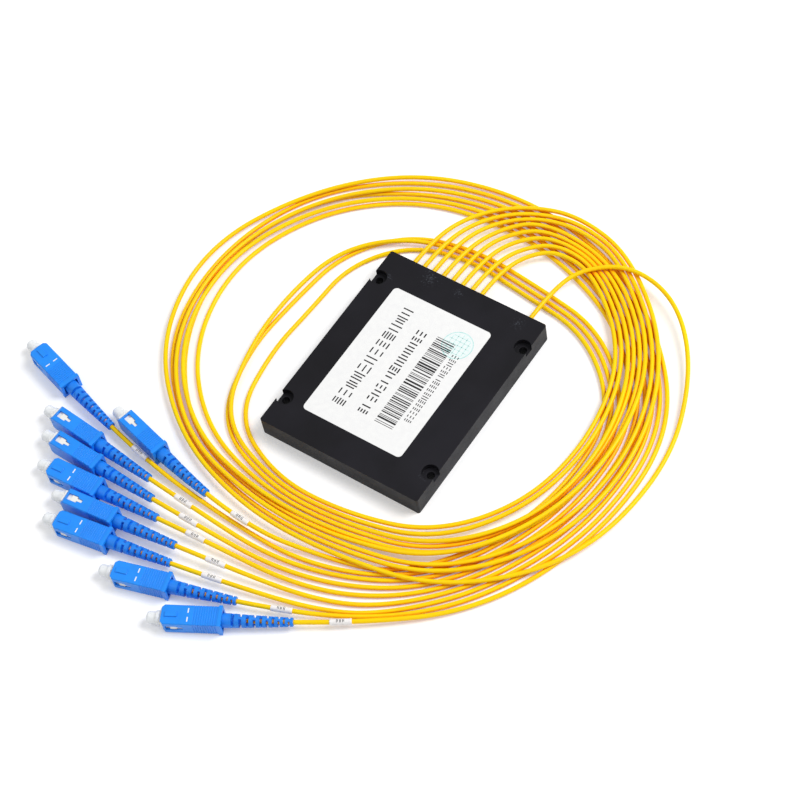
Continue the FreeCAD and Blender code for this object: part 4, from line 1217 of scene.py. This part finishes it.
    def draw_seal(self) -> bmesh.types.BMesh:
        """Draw a ring with a fine cross grid inside it.

        Returns:
            The mesh of the ring and its grid.
        """
        mesh = bmesh.new()
        across, along = self.seal_centre
        segments, width = self.seal_segments, self.seal_line
        for number in range(segments):
            turn = Matrix.Rotation(2 * math.pi * number / segments, 4, "Z")
            length = 2 * math.pi * self.seal_radius / segments
            add_block(mesh, Matrix.Translation((across, along, 0)) @ turn,
                      (self.seal_radius - width / 2, 0, self.top),
                      (width, length, self.film / self.RING_THINNING))
        for number in self.GRID_LINES:
            offset = number * self.grid_pitch
            reach = 2 * math.sqrt((self.seal_radius - self.grid_inset) ** 2 - offset ** 2)
            self.thin_block(mesh, across + offset, along, self.grid_line, reach)
            self.thin_block(mesh, across, along + offset, reach, self.grid_line)
        return mesh

    def thin_block(self, mesh: bmesh.types.BMesh, x: float, y: float, width: float,
                   depth: float) -> None:
        """One stamped line, thinner than the print, about (x, y), mm."""
        add_block(mesh, Matrix.Identity(4), (x, y, self.top),
                  (width, depth, self.film / self.GRID_THINNING))


# ---------------------------------------------------------------- studio

@dataclass(frozen=True)
class Viewpoint:
    """The camera: where it looks from and how long its lens is.

    Attributes:
        azimuth: Direction from the target to the camera, degrees anticlockwise from -Y.
        elevation: Height of the camera over the target, degrees.
        roll: Turn about the line of sight, degrees.
        distance: Distance from the target, m.
        target: The point that it looks at, m.
        lens_mm: Focal length.
        clip_start: Nearest distance that it sees, m.
    """

    azimuth: float = 44.11
    elevation: float = 56.79
    roll: float = -12.14
    distance: float = 1.0223
    target: tuple[float, float, float] = (0.0042, -0.0101, 0.005)
    lens_mm: float = 109.03
    clip_start: float = 0.01

    def build(self) -> None:
        """Make the camera and hand it to the scene."""
        turn = (Matrix.Rotation(math.radians(self.azimuth), 4, "Z")
                @ Matrix.Rotation(math.radians(90 - self.elevation), 4, "X")
                @ Matrix.Rotation(math.radians(self.roll), 4, "Z"))
        camera = bpy.data.objects.new("camera", bpy.data.cameras.new("camera"))
        camera.data.lens = self.lens_mm
        camera.data.clip_start = self.clip_start
        camera.matrix_world = (Matrix.Translation(self.target) @ turn
                               @ Matrix.Translation((0, 0, self.distance)))
        bpy.context.scene.collection.objects.link(camera)
        bpy.context.scene.camera = camera


@dataclass(frozen=True)
class Lamp:
    """A soft square light that points at the object.

    Attributes:
        name: The lamp's name.
        azimuth: Direction from the object to the lamp, degrees anticlockwise from -Y.
        elevation: Height of the lamp over the object, degrees.
        distance: Distance from the object, m.
        size: Side of the square, m.
        watts: Its power.
    """

    name: str
    azimuth: float
    elevation: float
    distance: float
    size: float
    watts: float

    def build(self) -> None:
        """Make the light."""
        data = bpy.data.lights.new(self.name, "AREA")
        data.energy = self.watts
        data.size = self.size
        light = bpy.data.objects.new(self.name, data)
        turn = (Matrix.Rotation(math.radians(self.azimuth), 4, "Z")
                @ Matrix.Rotation(math.radians(90 - self.elevation), 4, "X"))
        light.matrix_world = turn @ Matrix.Translation((0, 0, self.distance))
        bpy.context.scene.collection.objects.link(light)


@dataclass(frozen=True)
class Studio:
    """Pale floor, soft lamps and an even white surround.

    Attributes:
        floor_size: Side of the floor, m.
        floor_gap: Distance of the floor below the object, m.
        floor_colour: Colour of the floor, sRGB hex.
        floor_lift: Strength of the floor's own white light, so that it shows as pure white.
        world_strength: Strength of the white surround.
        lamps: The lamps.
    """

    floor_size: float = 6.0
    floor_gap: float = 0.0001
    floor_colour: str = "#f4f4f5"
    floor_lift: float = 0.2
    world_strength: float = 0.44
    lamps: tuple[Lamp, ...] = (
        Lamp("key", 132.0, 52.0, 2.4, 1.2, 43.0),
        Lamp("fill", -40.0, 60.0, 2.7, 2.1, 12.0),
    )

    def build(self) -> None:
        """Make the floor, the lamps and the world."""
        self.build_floor()
        for lamp in self.lamps:
            lamp.build()
        world = bpy.data.worlds.new("surround")
        world.use_nodes = True
        background = world.node_tree.nodes["Background"]
        background.inputs["Color"].default_value = (1, 1, 1, 1)
        background.inputs["Strength"].default_value = self.world_strength
        bpy.context.scene.world = world
        bpy.context.scene.view_settings.view_transform = "Standard"
        LOG.info("studio: floor and %d lamps", len(self.lamps))

    def build_floor(self) -> None:
        """A seamless white floor that keeps the object's shadow."""
        material = bpy.data.materials.new("floor_paper")
        material.use_nodes = True
        tree = material.node_tree
        tree.nodes.clear()
        light_path = add_node(tree, "ShaderNodeLightPath")
        seen = add_node(tree, "ShaderNodeMath", {"operation": "ADD", "use_clamp": True}, {
            0: light_path.outputs["Is Camera Ray"], 1: light_path.outputs["Is Glossy Ray"]})
        seen = add_node(tree, "ShaderNodeMath", {"operation": "ADD", "use_clamp": True}, {
            0: seen.outputs["Value"], 1: light_path.outputs["Is Transmission Ray"]})
        lift = add_node(tree, "ShaderNodeMath", {"operation": "MULTIPLY", 1: self.floor_lift},
                        {0: seen.outputs["Value"]})
        shader = add_node(tree, "ShaderNodeBsdfPrincipled", {
            "Base Color": linear(self.floor_colour), "Roughness": 0.9, "Specular IOR Level": 0.0,
            "Emission Color": (1, 1, 1, 1)}, {"Emission Strength": lift.outputs["Value"]})
        add_node(tree, "ShaderNodeOutputMaterial", links={"Surface": shader.outputs["BSDF"]})
        mesh = bmesh.new()
        bmesh.ops.create_grid(mesh, x_segments=1, y_segments=1, size=self.floor_size / 2)
        bmesh.ops.translate(mesh, vec=(0, 0, CAD_BOX[0][2] - self.floor_gap), verts=mesh.verts)
        floor = mesh_object("floor", mesh, material)


# ---------------------------------------------------------------- assembly

# Exits along the case's +Y side, mm: the outputs in a row, the input at its other end.
OUTPUTS = 8
EXIT_FIRST, EXIT_PITCH, EXIT_INPUT = -30.0, 5.0, 30.0


def exit_places() -> dict[str, float]:
    """Where each cable leaves the case.

    Returns:
        Place of each exit along the case, mm, by the pigtail's name.
    """
    places = {"output_%d" % (n + 1): EXIT_FIRST + EXIT_PITCH * n for n in range(OUTPUTS)}
    return {"input": EXIT_INPUT, **places}


def main() -> None:
    """Dress the model, lay the cables and light the scene."""
    logging.basicConfig(level=logging.INFO, format="%(message)s")
    Viewpoint().build()
    palette = Palette()
    palette.dress_solids()
    coil = Coil()
    exits = exit_places()
    for lane, plug in enumerate(PLUGS):
        Pigtail(plug, lane, exits[plug.name], coil, palette).build()
    LabelPrint(palette).build()
    Studio().build()


if __name__ == "__main__":
    main()
